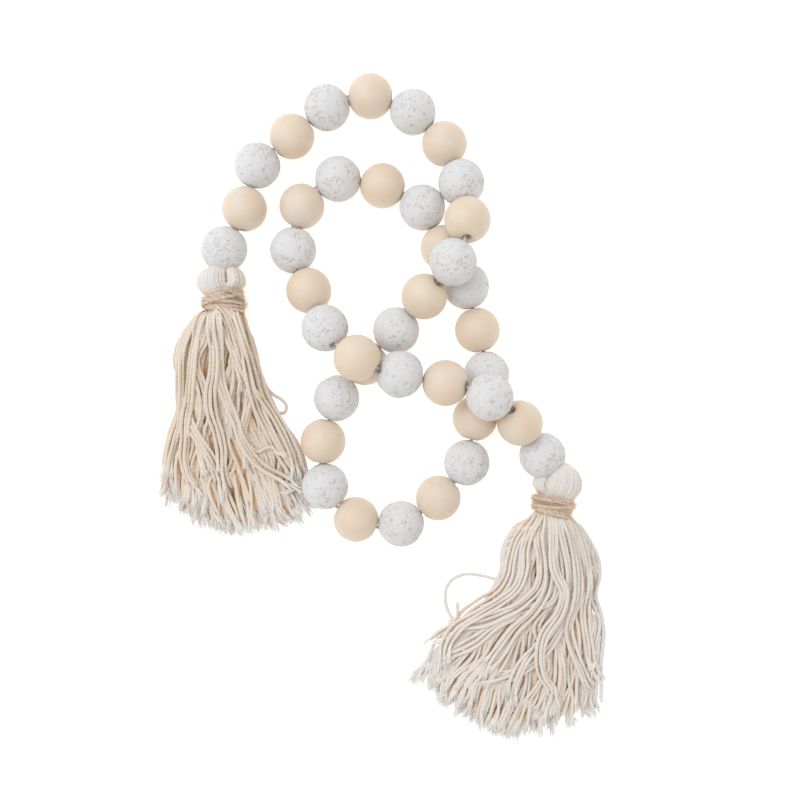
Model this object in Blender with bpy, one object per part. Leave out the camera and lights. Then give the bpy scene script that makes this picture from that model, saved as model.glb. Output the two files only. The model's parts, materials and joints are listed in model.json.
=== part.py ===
"""Stone and wood bead garland, lying in two crossing loops, with a cotton tassel at each end.

+Z is up and the garland rests on z = 0. +Y points to the upper loop and +X to the right-hand
tassel. The origin is under the middle of the garland's box. All sizes and places here are in
millimetres, and each mesh is turned into metres as it is made.
"""

import math
from collections import namedtuple

import bmesh
import bpy
import numpy as np
from mathutils import Matrix, Vector

MM = 0.001
GAP = 0.3                # clear space between pieces that touch on the real garland

# Beads
BEAD = 20.0              # diameter
BEAD_PITCH = 20.32       # least distance between two beads' centres
REST_HEIGHT = 9.8        # a bead's centre above the surface, on its small flat spot
BEAD_SEGMENTS = 12       # round the bore
BEAD_ARCS = 6            # from one end of the bore to the other

# The two kinds of bead: how far the bore reaches from the centre, and its diameter. A wooden bead
# is turned flat at both ends of its bore.
BeadKind = namedtuple("BeadKind", "name reach bore")
STONE = BeadKind("stone_bead", 9.85, 3.4)
WOOD = BeadKind("wood_bead", 9.4, 4.0)

# Cord through the beads
CORD = 1.5               # diameter
CORD_END_REACH = 9.9     # from the centre of the last bead up to the tassel's head
STRING_STIFFNESS = 0.006 # how much of each zigzag is evened out in a round of settling
STRING_HOLD = 0.03       # how much of its way back to its stop a bead goes in a round
SETTLE_ROUNDS = 600
BORE_ROUNDS = 200

# Tassels
STRANDS = 72             # yarns in one skirt
STRAND_SPACE = 0.16      # least space between two yarns
ROOT_RADIUS = 6.6        # the yarns' roots fill this circle inside the neck
ROOT_YARN = 0.52         # a yarn's radius at its root
ROOT_DEPTH = 1.2         # how deep the roots are fused into the neck
NECK_RADIUS = 7.4
NECK_LENGTH = 9.8
NECK_HEIGHT = 9.2        # of the neck's centre line above the surface
HEAD_HALF_WIDTH = 10.9
HEAD_HALF_HEIGHT = 9.9
HEAD_SIDES = 28
RIB_COUNT = 14           # bundles of yarn that show round the head
RIB_RISE = 0.35
GROOVE_DEPTH = 2.0       # between the head's two lobes
GROOVE_WIDTH = 0.22      # in radians

# Jute binding
BINDING_RADIUS = 9.5     # to the crest of a turn
BINDING_GROOVE = 0.55    # depth between two turns
BINDING_TURNS = 4
BINDING_SIDES = 18
BINDING_START = 1.4      # from the neck's lower end
BINDING_WIDTH = 7.2

# The string's route by its beads, a row for each: the bead's place, and how far it is lifted off
# the surface where the string climbs over itself. Odd rows are stone, even rows wood.
Stop = namedtuple("Stop", "x y lift")
ROUTE = [
    Stop(*row)
    for row in (
        (-69.7, 73.9, 0.0),
        (-58.7, 89.7, 0.0),
        (-54.8, 110.5, 0.0),
        (-38.3, 118.4, 0.0),
        (-25.0, 131.3, 0.0),
        (-8.2, 137.3, 0.0),
        (12.1, 131.7, 0.0),
        (27.4, 118.5, 0.0),
        (34.0, 100.0, 3.0),
        (36.6, 79.4, 11.5),
        (29.1, 59.1, 18.0),
        (17.6, 49.1, 8.5),
        (6.5, 33.2, 2.5),
        (-6.4, 20.8, 0.0),
        (-19.8, 5.6, 0.0),
        (-25.0, -15.8, 0.0),
        (-26.3, -36.3, 0.0),
        (-9.6, -51.1, 0.0),
        (12.0, -50.1, 0.0),
        (25.2, -36.3, 0.0),
        (37.0, -21.7, 0.0),
        (40.0, -4.3, 0.0),
        (44.9, 15.9, 0.0),
        (40.4, 34.2, 0.0),
        (38.0, 49.6, 0.0),
        (27.8, 72.0, 0.0),
        (19.7, 84.7, 0.0),
        (2.6, 94.7, 0.0),
        (-17.5, 102.3, 0.0),
        (-35.8, 88.8, 0.0),
        (-40.0, 69.2, 0.0),
        (-29.9, 54.0, 3.5),
        (-26.4, 34.3, 9.5),
        (-8.7, 18.9, 20.0),
        (9.6, 13.4, 12.0),
        (29.3, 9.8, 10.5),
        (46.4, 3.0, 17.5),
        (58.9, -5.2, 7.5),
        (71.7, -22.9, 0.0),
    )
]

# How a skirt falls, a row for each section across it: where its left edge, middle and right edge
# lie, the height of its crown, and the yarns' radius there.
Fall = namedtuple("Fall", "left_x left_y middle_x middle_y right_x right_y crown yarn")
LEFT_FALLS = [
    Fall(*row)
    for row in (
        (-90.0, 35.5, -74.5, 31.0, -60.0, 32.0, 16.2, 0.68),
        (-96.0, 24.0, -76.5, 19.0, -57.5, 18.0, 14.5, 0.95),
        (-96.0, 8.0, -74.5, 2.5, -52.5, 5.0, 12.5, 1.0),
        (-97.5, -8.5, -70.5, -13.5, -43.0, -10.0, 10.5, 1.0),
        (-103.0, -26.0, -68.5, -33.5, -34.5, -27.5, 8.0, 1.0),
        (-107.0, -43.5, -66.5, -56.5, -29.0, -51.0, 6.0, 0.95),
    )
]
RIGHT_FALLS = [
    Fall(*row)
    for row in (
        (61.0, -55.5, 75.5, -61.0, 92.5, -58.5, 16.2, 0.78),
        (56.0, -69.0, 76.0, -75.5, 100.5, -71.0, 14.5, 1.0),
        (51.5, -82.5, 73.5, -91.0, 103.0, -89.5, 12.5, 1.0),
        (39.0, -97.5, 68.5, -109.5, 104.5, -105.0, 10.5, 1.0),
        (23.5, -111.0, 63.0, -128.5, 105.5, -121.0, 8.0, 1.0),
        (10.5, -121.5, 58.0, -147.5, 105.5, -135.5, 6.0, 0.95),
    )
]

# A yarn that leaves each skirt on its own: its points on the surface after it parts from the edge.
Point = namedtuple("Point", "x y")
LEFT_STRAY = [Point(-49.0, 3.8), Point(-45.5, 3.0), Point(-44.0, 0.5), Point(-45.4, -2.0)]
RIGHT_STRAY = [
    Point(*row)
    for row in (
        (50.5, -77.5),
        (44.5, -76.0),
        (38.0, -77.0),
        (32.0, -81.0),
        (29.5, -88.0),
        (31.0, -95.0),
        (35.5, -97.5),
        (34.5, -92.0),
    )
]

# A tassel's head, a row for each ring of it: the share of the head's length, and of its width.
Ring = namedtuple("Ring", "rise width")
HEAD_RINGS = [
    Ring(0.08, 0.84),
    Ring(0.28, 0.97),
    Ring(0.52, 1.0),
    Ring(0.76, 0.9),
    Ring(0.92, 0.68),
    Ring(1.0, 0.35),
]

# A tassel: the lower end of its neck, the way its head points, the head's length, where the
# groove between the lobes runs round it, how much wider the binding is on its right, and the rest.
Tassel = namedtuple(
    "Tassel", "name root_x root_y back_x back_y head groove wedge falls stray leaves_at seed"
)
TASSELS = [
    Tassel("left", -70.5, 41.5, -0.1, 0.995, 11.3, 1.22, 0.25, LEFT_FALLS, LEFT_STRAY, 3, 4),
    Tassel("right", 76.0, -49.5, 0.2, 0.98, 15.0, 2.25, 0.1, RIGHT_FALLS, RIGHT_STRAY, 2, 9),
]


def clear_scene():
    """Removes every object, so the garland stands alone."""
    for item in list(bpy.data.objects):
        bpy.data.objects.remove(item, do_unlink=True)


def finish_material(name, colour, roughness):
    """A plain surface of one colour."""
    material = bpy.data.materials.new(name)
    material.use_nodes = True
    shader = material.node_tree.nodes["Principled BSDF"]
    shader.inputs["Base Color"].default_value = (*colour, 1.0)
    shader.inputs["Roughness"].default_value = roughness
    shader.inputs["Metallic"].default_value = 0.0
    return material


def make_object(name, shape, material, placement=None):
    """Turns a bmesh in millimetres into a named object in metres, placed as it lies."""
    bmesh.ops.recalc_face_normals(shape, faces=shape.faces)
    bmesh.ops.scale(shape, vec=(MM, MM, MM), verts=shape.verts)
    mesh = bpy.data.meshes.new(name)
    shape.to_mesh(mesh)
    shape.free()
    mesh.materials.append(material)
    mesh.shade_smooth()
    mesh.set_sharp_from_angle(angle=math.radians(40.0))
    item = bpy.data.objects.new(name, mesh)
    bpy.context.scene.collection.objects.link(item)
    if placement:
        item.matrix_world = placement
    return item


def hide_helper(item):
    """Marks an object that only shapes another one."""
    item.hide_render = True
    item.display_type = "WIRE"
    return item


def spread(points, spacing, floor, rounds=800):
    """Moves points that are closer than spacing apart, little by little, and none below floor."""
    points = np.array(points, dtype=float)
    for _ in range(rounds):
        apart = points[:, None] - points[None]
        distance = np.linalg.norm(apart, axis=2)
        np.fill_diagonal(distance, np.inf)
        short = np.clip(spacing - distance, 0.0, None)
        points += 0.4 * (apart / distance[..., None] * short[..., None]).sum(axis=1)
        points[:, -1] = np.maximum(points[:, -1], floor)
    return points


def tassel_frame(tassel):
    """The lower end of a tassel's neck, and the ways back to its head and to its right."""
    root = Vector((tassel.root_x, tassel.root_y, NECK_HEIGHT))
    back = Vector((tassel.back_x, tassel.back_y, 0.0)).normalized()
    return root, back, Vector((back.y, -back.x, 0.0))


def bead_kind(number):
    """Stone and wood take turns, with a stone bead at each end."""
    return STONE if number % 2 == 1 else WOOD


def settle_string():
    """The beads' centres as the string lies: no bead in another, no zigzag too sharp for a string
    through the bores, and each bead near its stop."""
    stops = np.array([(stop.x, stop.y, REST_HEIGHT + stop.lift) for stop in ROUTE])
    centres = stops.copy()
    for _ in range(SETTLE_ROUNDS):
        centres = spread(centres, BEAD_PITCH, REST_HEIGHT, 1)
        string = np.vstack([2 * centres[0] - centres[1], centres, 2 * centres[-1] - centres[-2]])
        bend = string[2:] - 2 * string[1:-1] + string[:-2]
        bend = np.vstack([bend[0], bend, bend[-1]])
        centres -= STRING_STIFFNESS * (bend[2:] - 2 * bend[1:-1] + bend[:-2])
        centres += STRING_HOLD * (stops - centres)
    return spread(centres, BEAD_PITCH, REST_HEIGHT)


def turn_bores(centres):
    """The way that each bore points, turned as by a taut cord from mouth to mouth."""
    reach = np.array([[bead_kind(number + 1).reach] for number in range(len(centres))])
    bores = np.gradient(centres, axis=0)
    for _ in range(BORE_ROUNDS):
        bores /= np.linalg.norm(bores, axis=1, keepdims=True)
        leaves = centres + reach * bores
        enters = centres - reach * bores
        bores[1:-1] = enters[2:] - leaves[:-2]
        bores[0] = enters[1] - centres[0]
        bores[-1] = centres[-1] - leaves[-2]
    return bores / np.linalg.norm(bores, axis=1, keepdims=True)


def string_beads():
    """Each bead's centre and the way that its bore points, from the left tassel to the right."""
    centres = settle_string()
    return [Vector(centre) for centre in centres], [Vector(bore) for bore in turn_bores(centres)]


def lay_along(axis):
    """The turn that lays a shape's X along an axis and keeps its Z as near to upright as it can."""
    side = Vector((0.0, 0.0, 1.0)).cross(axis).normalized()
    return Matrix((axis, side, axis.cross(side))).transposed()


def spin_profile(outline, segments):
    """Spins a closed outline of (along X, out from X) points round X, from straight below it."""
    shape = bmesh.new()
    corners = [shape.verts.new((along, 0.0, -out)) for along, out in outline]
    edges = [shape.edges.new(pair) for pair in zip(corners, corners[1:] + corners[:1])]
    bmesh.ops.spin(
        shape,
        geom=corners + edges,
        cent=(0.0, 0.0, 0.0),
        axis=(1.0, 0.0, 0.0),
        angle=math.tau,
        steps=segments,
        use_merge=True,
    )
    return shape


def cut_flat_spot(shape, down, height):
    """Cuts off what lies further than height down, and closes the cut."""
    cut = bmesh.ops.bisect_plane(
        shape,
        geom=[*shape.verts, *shape.edges, *shape.faces],
        plane_co=down * height,
        plane_no=down,
        clear_outer=True,
    )
    rim = [item for item in cut["geom_cut"] if isinstance(item, bmesh.types.BMEdge)]
    bmesh.ops.holes_fill(shape, edges=rim, sides=0)


def bead_outline(kind):
    """A round bead's outline: its arcs, the flats round a wide bore, and the bore's wall."""
    radius = BEAD / 2
    start = math.acos(kind.reach / radius)
    sweep = math.pi - 2 * start
    turns = [start + sweep * step / BEAD_ARCS for step in range(BEAD_ARCS + 1)]
    outline = [(radius * math.cos(turn), radius * math.sin(turn)) for turn in turns]
    if kind.bore / 2 < outline[0][1] - GAP:
        outline = [(kind.reach, kind.bore / 2), *outline, (-kind.reach, kind.bore / 2)]
    return outline


def make_bead(number, centre, bore, stone, wood):
    """One bead, drilled along the string and flat where it rests."""
    kind = bead_kind(number)
    turn = lay_along(bore)
    shape = spin_profile(bead_outline(kind), BEAD_SEGMENTS)
    if centre.z < BEAD / 2:
        cut_flat_spot(shape, turn.inverted() @ Vector((0.0, 0.0, -1.0)), centre.z)
    placement = Matrix.Translation(centre * MM) @ turn.to_4x4()
    material = stone if kind is STONE else wood
    return make_object(f"{kind.name}_{number:02d}", shape, material, placement)


def bore_room(number):
    """How far the cord may lie off the middle of a bead's bore."""
    return bead_kind(number).bore / 2 * math.cos(math.pi / BEAD_SEGMENTS) - CORD / 2 - GAP


def cord_route(centres, bores):
    """The cord's points: where it leaves one bore and enters the next, both drawn aside toward
    each other as far as there is room in the two bores."""
    points = [centres[0] - bores[0] * CORD_END_REACH]
    for number in range(1, len(centres)):
        near, far = bores[number - 1], bores[number]
        leaves = centres[number - 1] + near * bead_kind(number).reach
        enters = centres[number] - far * bead_kind(number + 1).reach
        step = enters - leaves
        aside = step - near * step.dot(near)
        back = far * step.dot(far) - step
        near_room, far_room = bore_room(number), bore_room(number + 1)
        share = min(1.0, aside.length / (near_room + far_room))
        points.append(leaves + aside.normalized() * near_room * share)
        points.append(enters + back.normalized() * far_room * share)
    points.append(centres[-1] + bores[-1] * CORD_END_REACH)
    return points


def make_cord(centres, bores, cotton):
    """The cord through all the beads: straight in each bore, and bent between two beads."""
    points = cord_route(centres, bores)
    curve = bpy.data.curves.new("stringing_cord", "CURVE")
    curve.dimensions = "3D"
    curve.bevel_depth = CORD / 2 * MM
    curve.bevel_resolution = 1
    curve.use_fill_caps = True
    run = curve.splines.new("POLY")
    run.points.add(len(points) - 1)
    for corner, point in zip(run.points, points):
        corner.co = (*(point * MM), 1.0)
    curve.materials.append(cotton)
    item = bpy.data.objects.new("stringing_cord", curve)
    bpy.context.scene.collection.objects.link(item)
    return item


def add_tube(shape, sides, stations, place):
    """Adds a closed tube: a disc extruded station by station, with its corners then set by place,
    which turns a station and an angle into a point."""
    start = bmesh.ops.create_circle(shape, cap_ends=True, segments=sides, radius=1.0)
    corners = set(start["verts"])
    end = start["verts"][0].link_faces[0]
    for station in range(1, stations):
        grown = bmesh.ops.extrude_face_region(shape, geom=[end])["geom"]
        if station > 1:
            bmesh.ops.delete(shape, geom=[end], context="FACES_ONLY")
        end = next(item for item in grown if isinstance(item, bmesh.types.BMFace))
        bmesh.ops.translate(shape, vec=(0.0, 0.0, 1.0), verts=end.verts)
        corners.update(end.verts)
    for corner in corners:
        corner.co = place(round(corner.co.z), math.atan2(corner.co.y, corner.co.x))


def make_head(tassel, cotton):
    """The neck and the ribbed head above it, with the groove between the head's two lobes."""
    root, back, side = tassel_frame(tassel)
    rings = [(0.0, NECK_RADIUS, NECK_RADIUS, 0.0), (NECK_LENGTH, NECK_RADIUS, NECK_RADIUS, 0.0)]
    for ring in HEAD_RINGS:
        rise = NECK_LENGTH + ring.rise * tassel.head
        rings.append((rise, HEAD_HALF_WIDTH * ring.width, HEAD_HALF_HEIGHT * ring.width, 1.0))

    def place(station, angle):
        rise, half_width, half_height, ribbed = rings[station]
        groove = math.exp(-(((angle - tassel.groove) / GROOVE_WIDTH) ** 2))
        relief = ribbed * (RIB_RISE * math.cos(RIB_COUNT * angle) - GROOVE_DEPTH * groove)
        reach_side = (half_width + relief) * math.cos(angle)
        reach_up = (half_height + relief) * math.sin(angle)
        return root + back * rise + side * reach_side + Vector((0.0, 0.0, reach_up))

    shape = bmesh.new()
    add_tube(shape, HEAD_SIDES, len(rings), place)
    cut_flat_spot(shape, Vector((0.0, 0.0, -1.0)), 0.0)
    return make_object(f"tassel_{tassel.name}", shape, cotton)


def yarn_sections(tassel):
    """Where each yarn crosses each section of the skirt, as (sections, yarns, 3) points, with the
    yarns' radius at each section. The last yarn runs down the edge that the stray one leaves."""
    root, back, side = tassel_frame(tassel)
    turn = np.arange(STRANDS) * math.pi * (3 - math.sqrt(5))
    reach = np.sqrt((np.arange(STRANDS) + 0.5) / STRANDS)
    edge = -1.0 if tassel.stray[-1].x < tassel.root_x else 1.0
    across = np.append(reach * np.cos(turn), edge)
    up = np.append(reach * np.sin(turn), 0.0)
    yarn = ROOT_YARN
    bundle = spread(np.stack([across, up], 1) * ROOT_RADIUS, 2 * yarn + STRAND_SPACE, -np.inf)
    base = np.array(root + back * ROOT_DEPTH)
    sections = [base + bundle[:, :1] * np.array(side) + bundle[:, 1:] * np.array((0.0, 0.0, 1.0))]
    radii = [yarn]
    shift = 0.0
    for number, fall in enumerate(tassel.falls):
        left = np.array((fall.left_x, fall.left_y))
        middle = np.array((fall.middle_x, fall.middle_y))
        right = np.array((fall.right_x, fall.right_y))
        half_width = np.linalg.norm(right - left) / 2 - fall.yarn
        sag = min(1.0, (number + 1) / 2)
        rim = np.sqrt(np.clip(1.0 - across**2, 0.0, None))
        low = (1.0 - sag) * 2.0 + fall.yarn / 2
        height = low + (fall.crown - low - fall.yarn) / 2 * (up + (1 - sag) + sag * rim)
        even = np.stack([across * half_width, height], 1)
        pile = spread(even + shift, 2 * fall.yarn + STRAND_SPACE, fall.yarn / 2)
        shift = pile - even
        share = pile[:, :1] / half_width
        plan = middle + (right - left) / 2 * share + ((left + right) / 2 - middle) * share**2
        sections.append(np.concatenate([plan, pile[:, 1:]], 1))
        radii.append(fall.yarn)
    return np.array(sections), radii


def add_yarn(shape, route, radii):
    """Adds one three-sided yarn along a route, with a flat side down so that it lies level."""
    route = [Vector(point) for point in route]

    def place(station, angle):
        before = route[max(station - 1, 0)]
        after = route[min(station + 1, len(route) - 1)]
        along = after - before
        side = Vector((along.y, -along.x, 0.0)).normalized()
        up = Vector((0.0, 0.0, 1.0))
        reach = radii[station]
        return route[station] + (side * math.cos(angle) + up * math.sin(angle)) * reach

    add_tube(shape, 3, len(route), place)


def make_yarns(tassel, cotton):
    """All yarns of a skirt, cut to slightly uneven lengths, and the one that strays."""
    chance = np.random.default_rng(tassel.seed)
    sections, radii = yarn_sections(tassel)
    shape = bmesh.new()
    for yarn in range(STRANDS):
        route = sections[:, yarn].copy()
        route[-1] = route[-2] + (route[-1] - route[-2]) * chance.uniform(0.75, 1.05)
        route[-1, 2] = max(route[-1, 2], radii[-1] / 2)
        add_yarn(shape, route, radii)
    stays = tassel.leaves_at + 1
    floor = radii[stays - 1] / 2
    stray = [*sections[:stays, STRANDS], *((point.x, point.y, floor) for point in tassel.stray)]
    add_yarn(shape, stray, [*radii[:stays], *[radii[stays - 1]] * len(tassel.stray)])
    return hide_helper(make_object(f"yarns_{tassel.name}", shape, cotton))


def combine(item, other, operation):
    """Joins a helper to an object, or cuts it out, by a live Boolean."""
    modifier = item.modifiers.new(f"{operation.lower()}_{other.name}", "BOOLEAN")
    modifier.operation = operation
    modifier.solver = "EXACT"
    modifier.object = other


def make_tassel(tassel, bead_centre, cotton):
    """One tassel: its head, hollowed where the last bead sits, with the yarns fused to its neck."""
    head = make_head(tassel, cotton)
    hollow = bmesh.new()
    bmesh.ops.create_uvsphere(hollow, u_segments=20, v_segments=10, radius=BEAD / 2 + 1.6 * GAP)
    seat = make_object(f"seat_{tassel.name}", hollow, cotton, Matrix.Translation(bead_centre * MM))
    combine(head, hide_helper(seat), "DIFFERENCE")
    combine(head, make_yarns(tassel, cotton), "UNION")
    return head


def make_binding(tassel, jute):
    """Twine wound round a tassel's neck: a ring with a ridge for each turn."""
    root, back, side = tassel_frame(tassel)
    pitch = BINDING_WIDTH / BINDING_TURNS
    inner = NECK_RADIUS / math.cos(math.pi / BINDING_SIDES) + GAP
    crest = BINDING_RADIUS
    outline = [(BINDING_START, inner), (BINDING_START, crest - BINDING_GROOVE)]
    for turn in range(BINDING_TURNS):
        start = BINDING_START + turn * pitch
        outline.append((start + pitch / 2, crest))
        outline.append((start + pitch, crest - BINDING_GROOVE))
    outline.append((BINDING_START + BINDING_WIDTH, inner))
    shape = spin_profile(outline, BINDING_SIDES)
    middle = BINDING_START + BINDING_WIDTH / 2
    for corner in shape.verts:
        along = (corner.co.x - middle) * (1.0 + tassel.wedge * corner.co.y / crest) + middle
        corner.co = root + back * along + side * corner.co.y + Vector((0.0, 0.0, corner.co.z))
    cut_flat_spot(shape, Vector((0.0, 0.0, -1.0)), 0.0)
    return make_object(f"binding_{tassel.name}", shape, jute)


def main():
    clear_scene()
    stone = finish_material("white_stone", (0.80, 0.79, 0.77), 0.85)
    wood = finish_material("bare_wood", (0.80, 0.66, 0.48), 0.6)
    cotton = finish_material("natural_cotton", (0.83, 0.76, 0.65), 0.9)
    jute = finish_material("jute_twine", (0.55, 0.40, 0.24), 0.9)
    centres, bores = string_beads()
    for number, (centre, bore) in enumerate(zip(centres, bores), start=1):
        make_bead(number, centre, bore, stone, wood)
    make_cord(centres, bores, cotton)
    for tassel, bead_centre in zip(TASSELS, (centres[0], centres[-1])):
        make_tassel(tassel, bead_centre, cotton)
        make_binding(tassel, jute)


if __name__ == "__main__":
    main()
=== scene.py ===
"""The looks of a stone and wood bead garland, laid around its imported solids.

Sizes and places in this file are in millimetres, on the frame's axes: +Z up off the floor, +Y
towards the upper loop and +X towards the right-hand tassel. Each mesh is turned into metres as it
is made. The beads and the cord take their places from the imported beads. The tassels and bindings
have theirs in the tables below.
"""

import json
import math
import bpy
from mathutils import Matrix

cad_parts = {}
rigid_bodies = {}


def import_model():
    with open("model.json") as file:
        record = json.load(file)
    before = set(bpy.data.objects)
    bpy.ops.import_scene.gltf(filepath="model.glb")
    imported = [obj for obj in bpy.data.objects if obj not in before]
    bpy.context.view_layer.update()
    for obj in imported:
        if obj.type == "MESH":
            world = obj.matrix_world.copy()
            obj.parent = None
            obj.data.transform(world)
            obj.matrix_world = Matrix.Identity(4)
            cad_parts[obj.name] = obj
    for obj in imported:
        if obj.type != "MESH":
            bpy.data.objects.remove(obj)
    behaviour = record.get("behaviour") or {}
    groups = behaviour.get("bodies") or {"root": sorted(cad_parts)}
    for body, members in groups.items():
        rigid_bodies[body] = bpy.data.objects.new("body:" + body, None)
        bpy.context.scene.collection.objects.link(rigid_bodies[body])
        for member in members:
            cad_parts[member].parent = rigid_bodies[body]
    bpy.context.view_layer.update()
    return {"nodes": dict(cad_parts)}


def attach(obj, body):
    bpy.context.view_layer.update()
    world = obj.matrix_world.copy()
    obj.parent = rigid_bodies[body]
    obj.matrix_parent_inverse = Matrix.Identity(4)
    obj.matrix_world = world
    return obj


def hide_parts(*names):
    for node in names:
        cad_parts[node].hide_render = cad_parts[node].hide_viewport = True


bl_info = {
    "name": "Bead garland",
    "version": (1, 0, 0),
    "blender": (4, 5, 0),
    "location": "3D View > Sidebar > Garland",
    "description": "Dresses a garland of stone and wooden beads with cotton tassels",
    "category": "Object",
}

from collections import namedtuple

import bmesh
import bpy
import numpy as np
from bpy.props import FloatProperty, FloatVectorProperty, IntProperty, PointerProperty
from mathutils import Matrix, Vector, noise

for leftover in list(bpy.data.objects):
    bpy.data.objects.remove(leftover, do_unlink=True)
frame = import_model()

MM = 0.001
BODY = "root"
UP = np.array((0.0, 0.0, 1.0))

# The camera looks straight down from here, and sees this width at the beads' middle height.
CAMERA_X = 8.3
CAMERA_Y = 2.7
VIEW_HEIGHT = 10.0
VIEW_WIDTH = 359.5
SENSOR = 36.0

# Beads
BORE_WALL = 15.0         # only the edges along a bore's wall are longer than this
BEAD_SEGMENTS = 56       # round the bore
STONE_ARCS = 30
WOOD_ARCS = 26
STONE_BORE = 3.4
WOOD_BORE = 4.0
STONE_REACH = 10.0
WOOD_REACH = 9.6         # a wooden bead is flat at both ends of its bore, this far out
WOOD_EDGE = 0.35         # the rounding where the bore meets the flat end

# Pits of the stone
PIT_CLUSTERS = 22
CLUSTER_PITS = 8
CLUSTER_SPREAD = 0.2     # in radians
PIT_SMALLEST = 0.2
PIT_LARGEST = 0.85
PIT_RAGGEDNESS = 0.25
PIT_REFINE = 2           # rounds of finer faces round each pit
PIT_FINEST_EDGE = 0.3    # shorter edges aren't divided
PIT_FULL_SHADE = 0.5     # a pit this deep has its full painted shade
LUMPS = ((0.24, 0.15), (0.12, 0.45), (0.05, 1.3))  # height of each, and how close they lie

# Cord
CORD = 1.5
CORD_END_REACH = 9.9
CORD_HIDE = 2.0          # the cord bends this far inside each bore's mouth
CORD_STATIONS = 8        # for each bead's half

# How a strand is plied: its plies, their relief as a share of its radius, and how far along it
# they wind round once.
Plies = namedtuple("Plies", "count depth pitch")
CORD_PLIES = Plies(3, 0.1, 5.0)
YARN_PLIES = Plies(2, 0.08, 4.0)
TWINE_PLIES = Plies(2, 0.12, 5.2)

# Yarns
YARN_SIDES = 6
PRESSED_WIDE = 1.3       # a yarn in the pile is pressed flat: its half width and half height
PRESSED_TALL = 0.62      # as shares of its radius
YARN_STATIONS = 50
LEVELLING = 0.3          # share of the way back to level that a strand turns at each station
SKIRT_STATIONS = 56
SETTLE_ROUNDS = 70
NECK_YARN = 0.42         # radius of a yarn pressed under the binding
YARN_SPACING = 1.8       # least distance between two yarns' middles, in yarn radii
FIBRES = 14              # at each frayed end
FIBRE = 0.19
FIBRE_STATIONS = 5
FRAY_START = 4.0         # before the yarn's end
CLUMPS = 46              # bundles of yarns that fall together in each skirt
RIBBON = (-1, 0, 1)      # the yarns side by side in a laid ribbon
TUCKED = 4               # a laid yarn's first stations dip under the binding
TUCK_DEPTH = 2.6
FLOOR_CLEARANCE = 0.02
BURIED_DEPTH = 1.5       # under its cover, a yarn this deep has its full painted shade
BEAD_REACH = 10.3        # the yarns keep this far from a bead's middle
NECK_STATIONS = (4.0, 2.5, 1.2)  # how far inside the neck each yarn's first places lie
FRAY_LENGTHS = (2.0, 5.5)
FRAY_TAPER = (1.0, 1.15, 1.15, 1.0, 0.7)

# Yarns that lie in each other are parted by shares of what they lack, drawn back to where they
# want to lie, and evened out along themselves.
PARTING = 0.22
DRAWING_BACK = 0.03
EVENING_OUT = 0.06

# The random sways down a skirt: stations from one bend to the next, and the size of a bend.
BUNDLE_SWAYS = ((10, 1.9), (5, 0.7))
YARN_SWAYS = ((8, 0.6), (3, 0.38))
BUNDLE_LIFT = (6, 0.9)
YARN_LIFT = (4, 0.3)
LAID_DRIFT = (9, 0.5)
SHARED_SWAY = 0.14       # of all layers together, as a share of the skirt's half width
LAYERED_SWAY = 0.3       # of each layer by itself

# The share of each yarn that is cut off, how much it varies, and the most of it
CUT = 0.035
CUT_BY_BUNDLE = 0.025
CUT_BY_YARN = 0.012
CUT_MOST = 0.2

# Marks of the yarns, each from 0 to 1
# The tip mark whitens a yarn with painted light; the open mark lessens its painted shade.
HEAD_TIP = 0.85
HEAD_OPEN = 0.4
CORE_TONE = 0.6
CORD_MARKS = {"tone": [0.5], "tip": [0.6], "open": [0.5]}
PAINTED_LIGHT_RUN = (0.0, 0.35, 0.8, 1.0)     # shares of the way down a skirt
PAINTED_LIGHT_THERE = (0.8, 0.1, 0.05, 0.6)   # how much painted light whitens the yarns there

# Twine
TWINE_SIDES = 8
TWINE_STATIONS = 300
TWINE_TURNS = 5.4
BINDING_MIDDLE = 5.0     # from the neck's lower end
BINDING_WIDTH = 7.0
HAIRS = 700
HAIR = 0.07

# Stage
FLOOR_HALF = 3.0         # half the floor's width, and its drop under the garland, in metres
FLOOR_DROP = 0.0001
FLOOR_COLOUR = (0.95, 0.95, 0.95, 1.0)
FLOOR_LIGHT = (1.0, 0.995, 0.985, 1.0)
SKY_COLOUR = (1.0, 0.98, 0.955, 1.0)
LAMP_COLOUR = (0.87, 0.92, 1.0)
LAMP_WIDTH = 0.9         # in metres, as is its place
LAMP_PLACE = (-0.45, 0.38, 0.88)

# Materials
DOWN_TINT = (1.0, 0.92, 0.83, 1.0)     # of the sheen
GRAIN_STRETCH = (1.0, 1.0, 0.16)       # the grain is drawn out along the tree
PORE_SHIFT = (0.0005, 0.0005, 0.0005)  # how far the fine pores are bent out of line, in metres
FIRST_COLOUR = 6         # sockets of a Mix node that mixes colours
SECOND_COLOUR = 7
MIXED_COLOUR = 2

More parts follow.
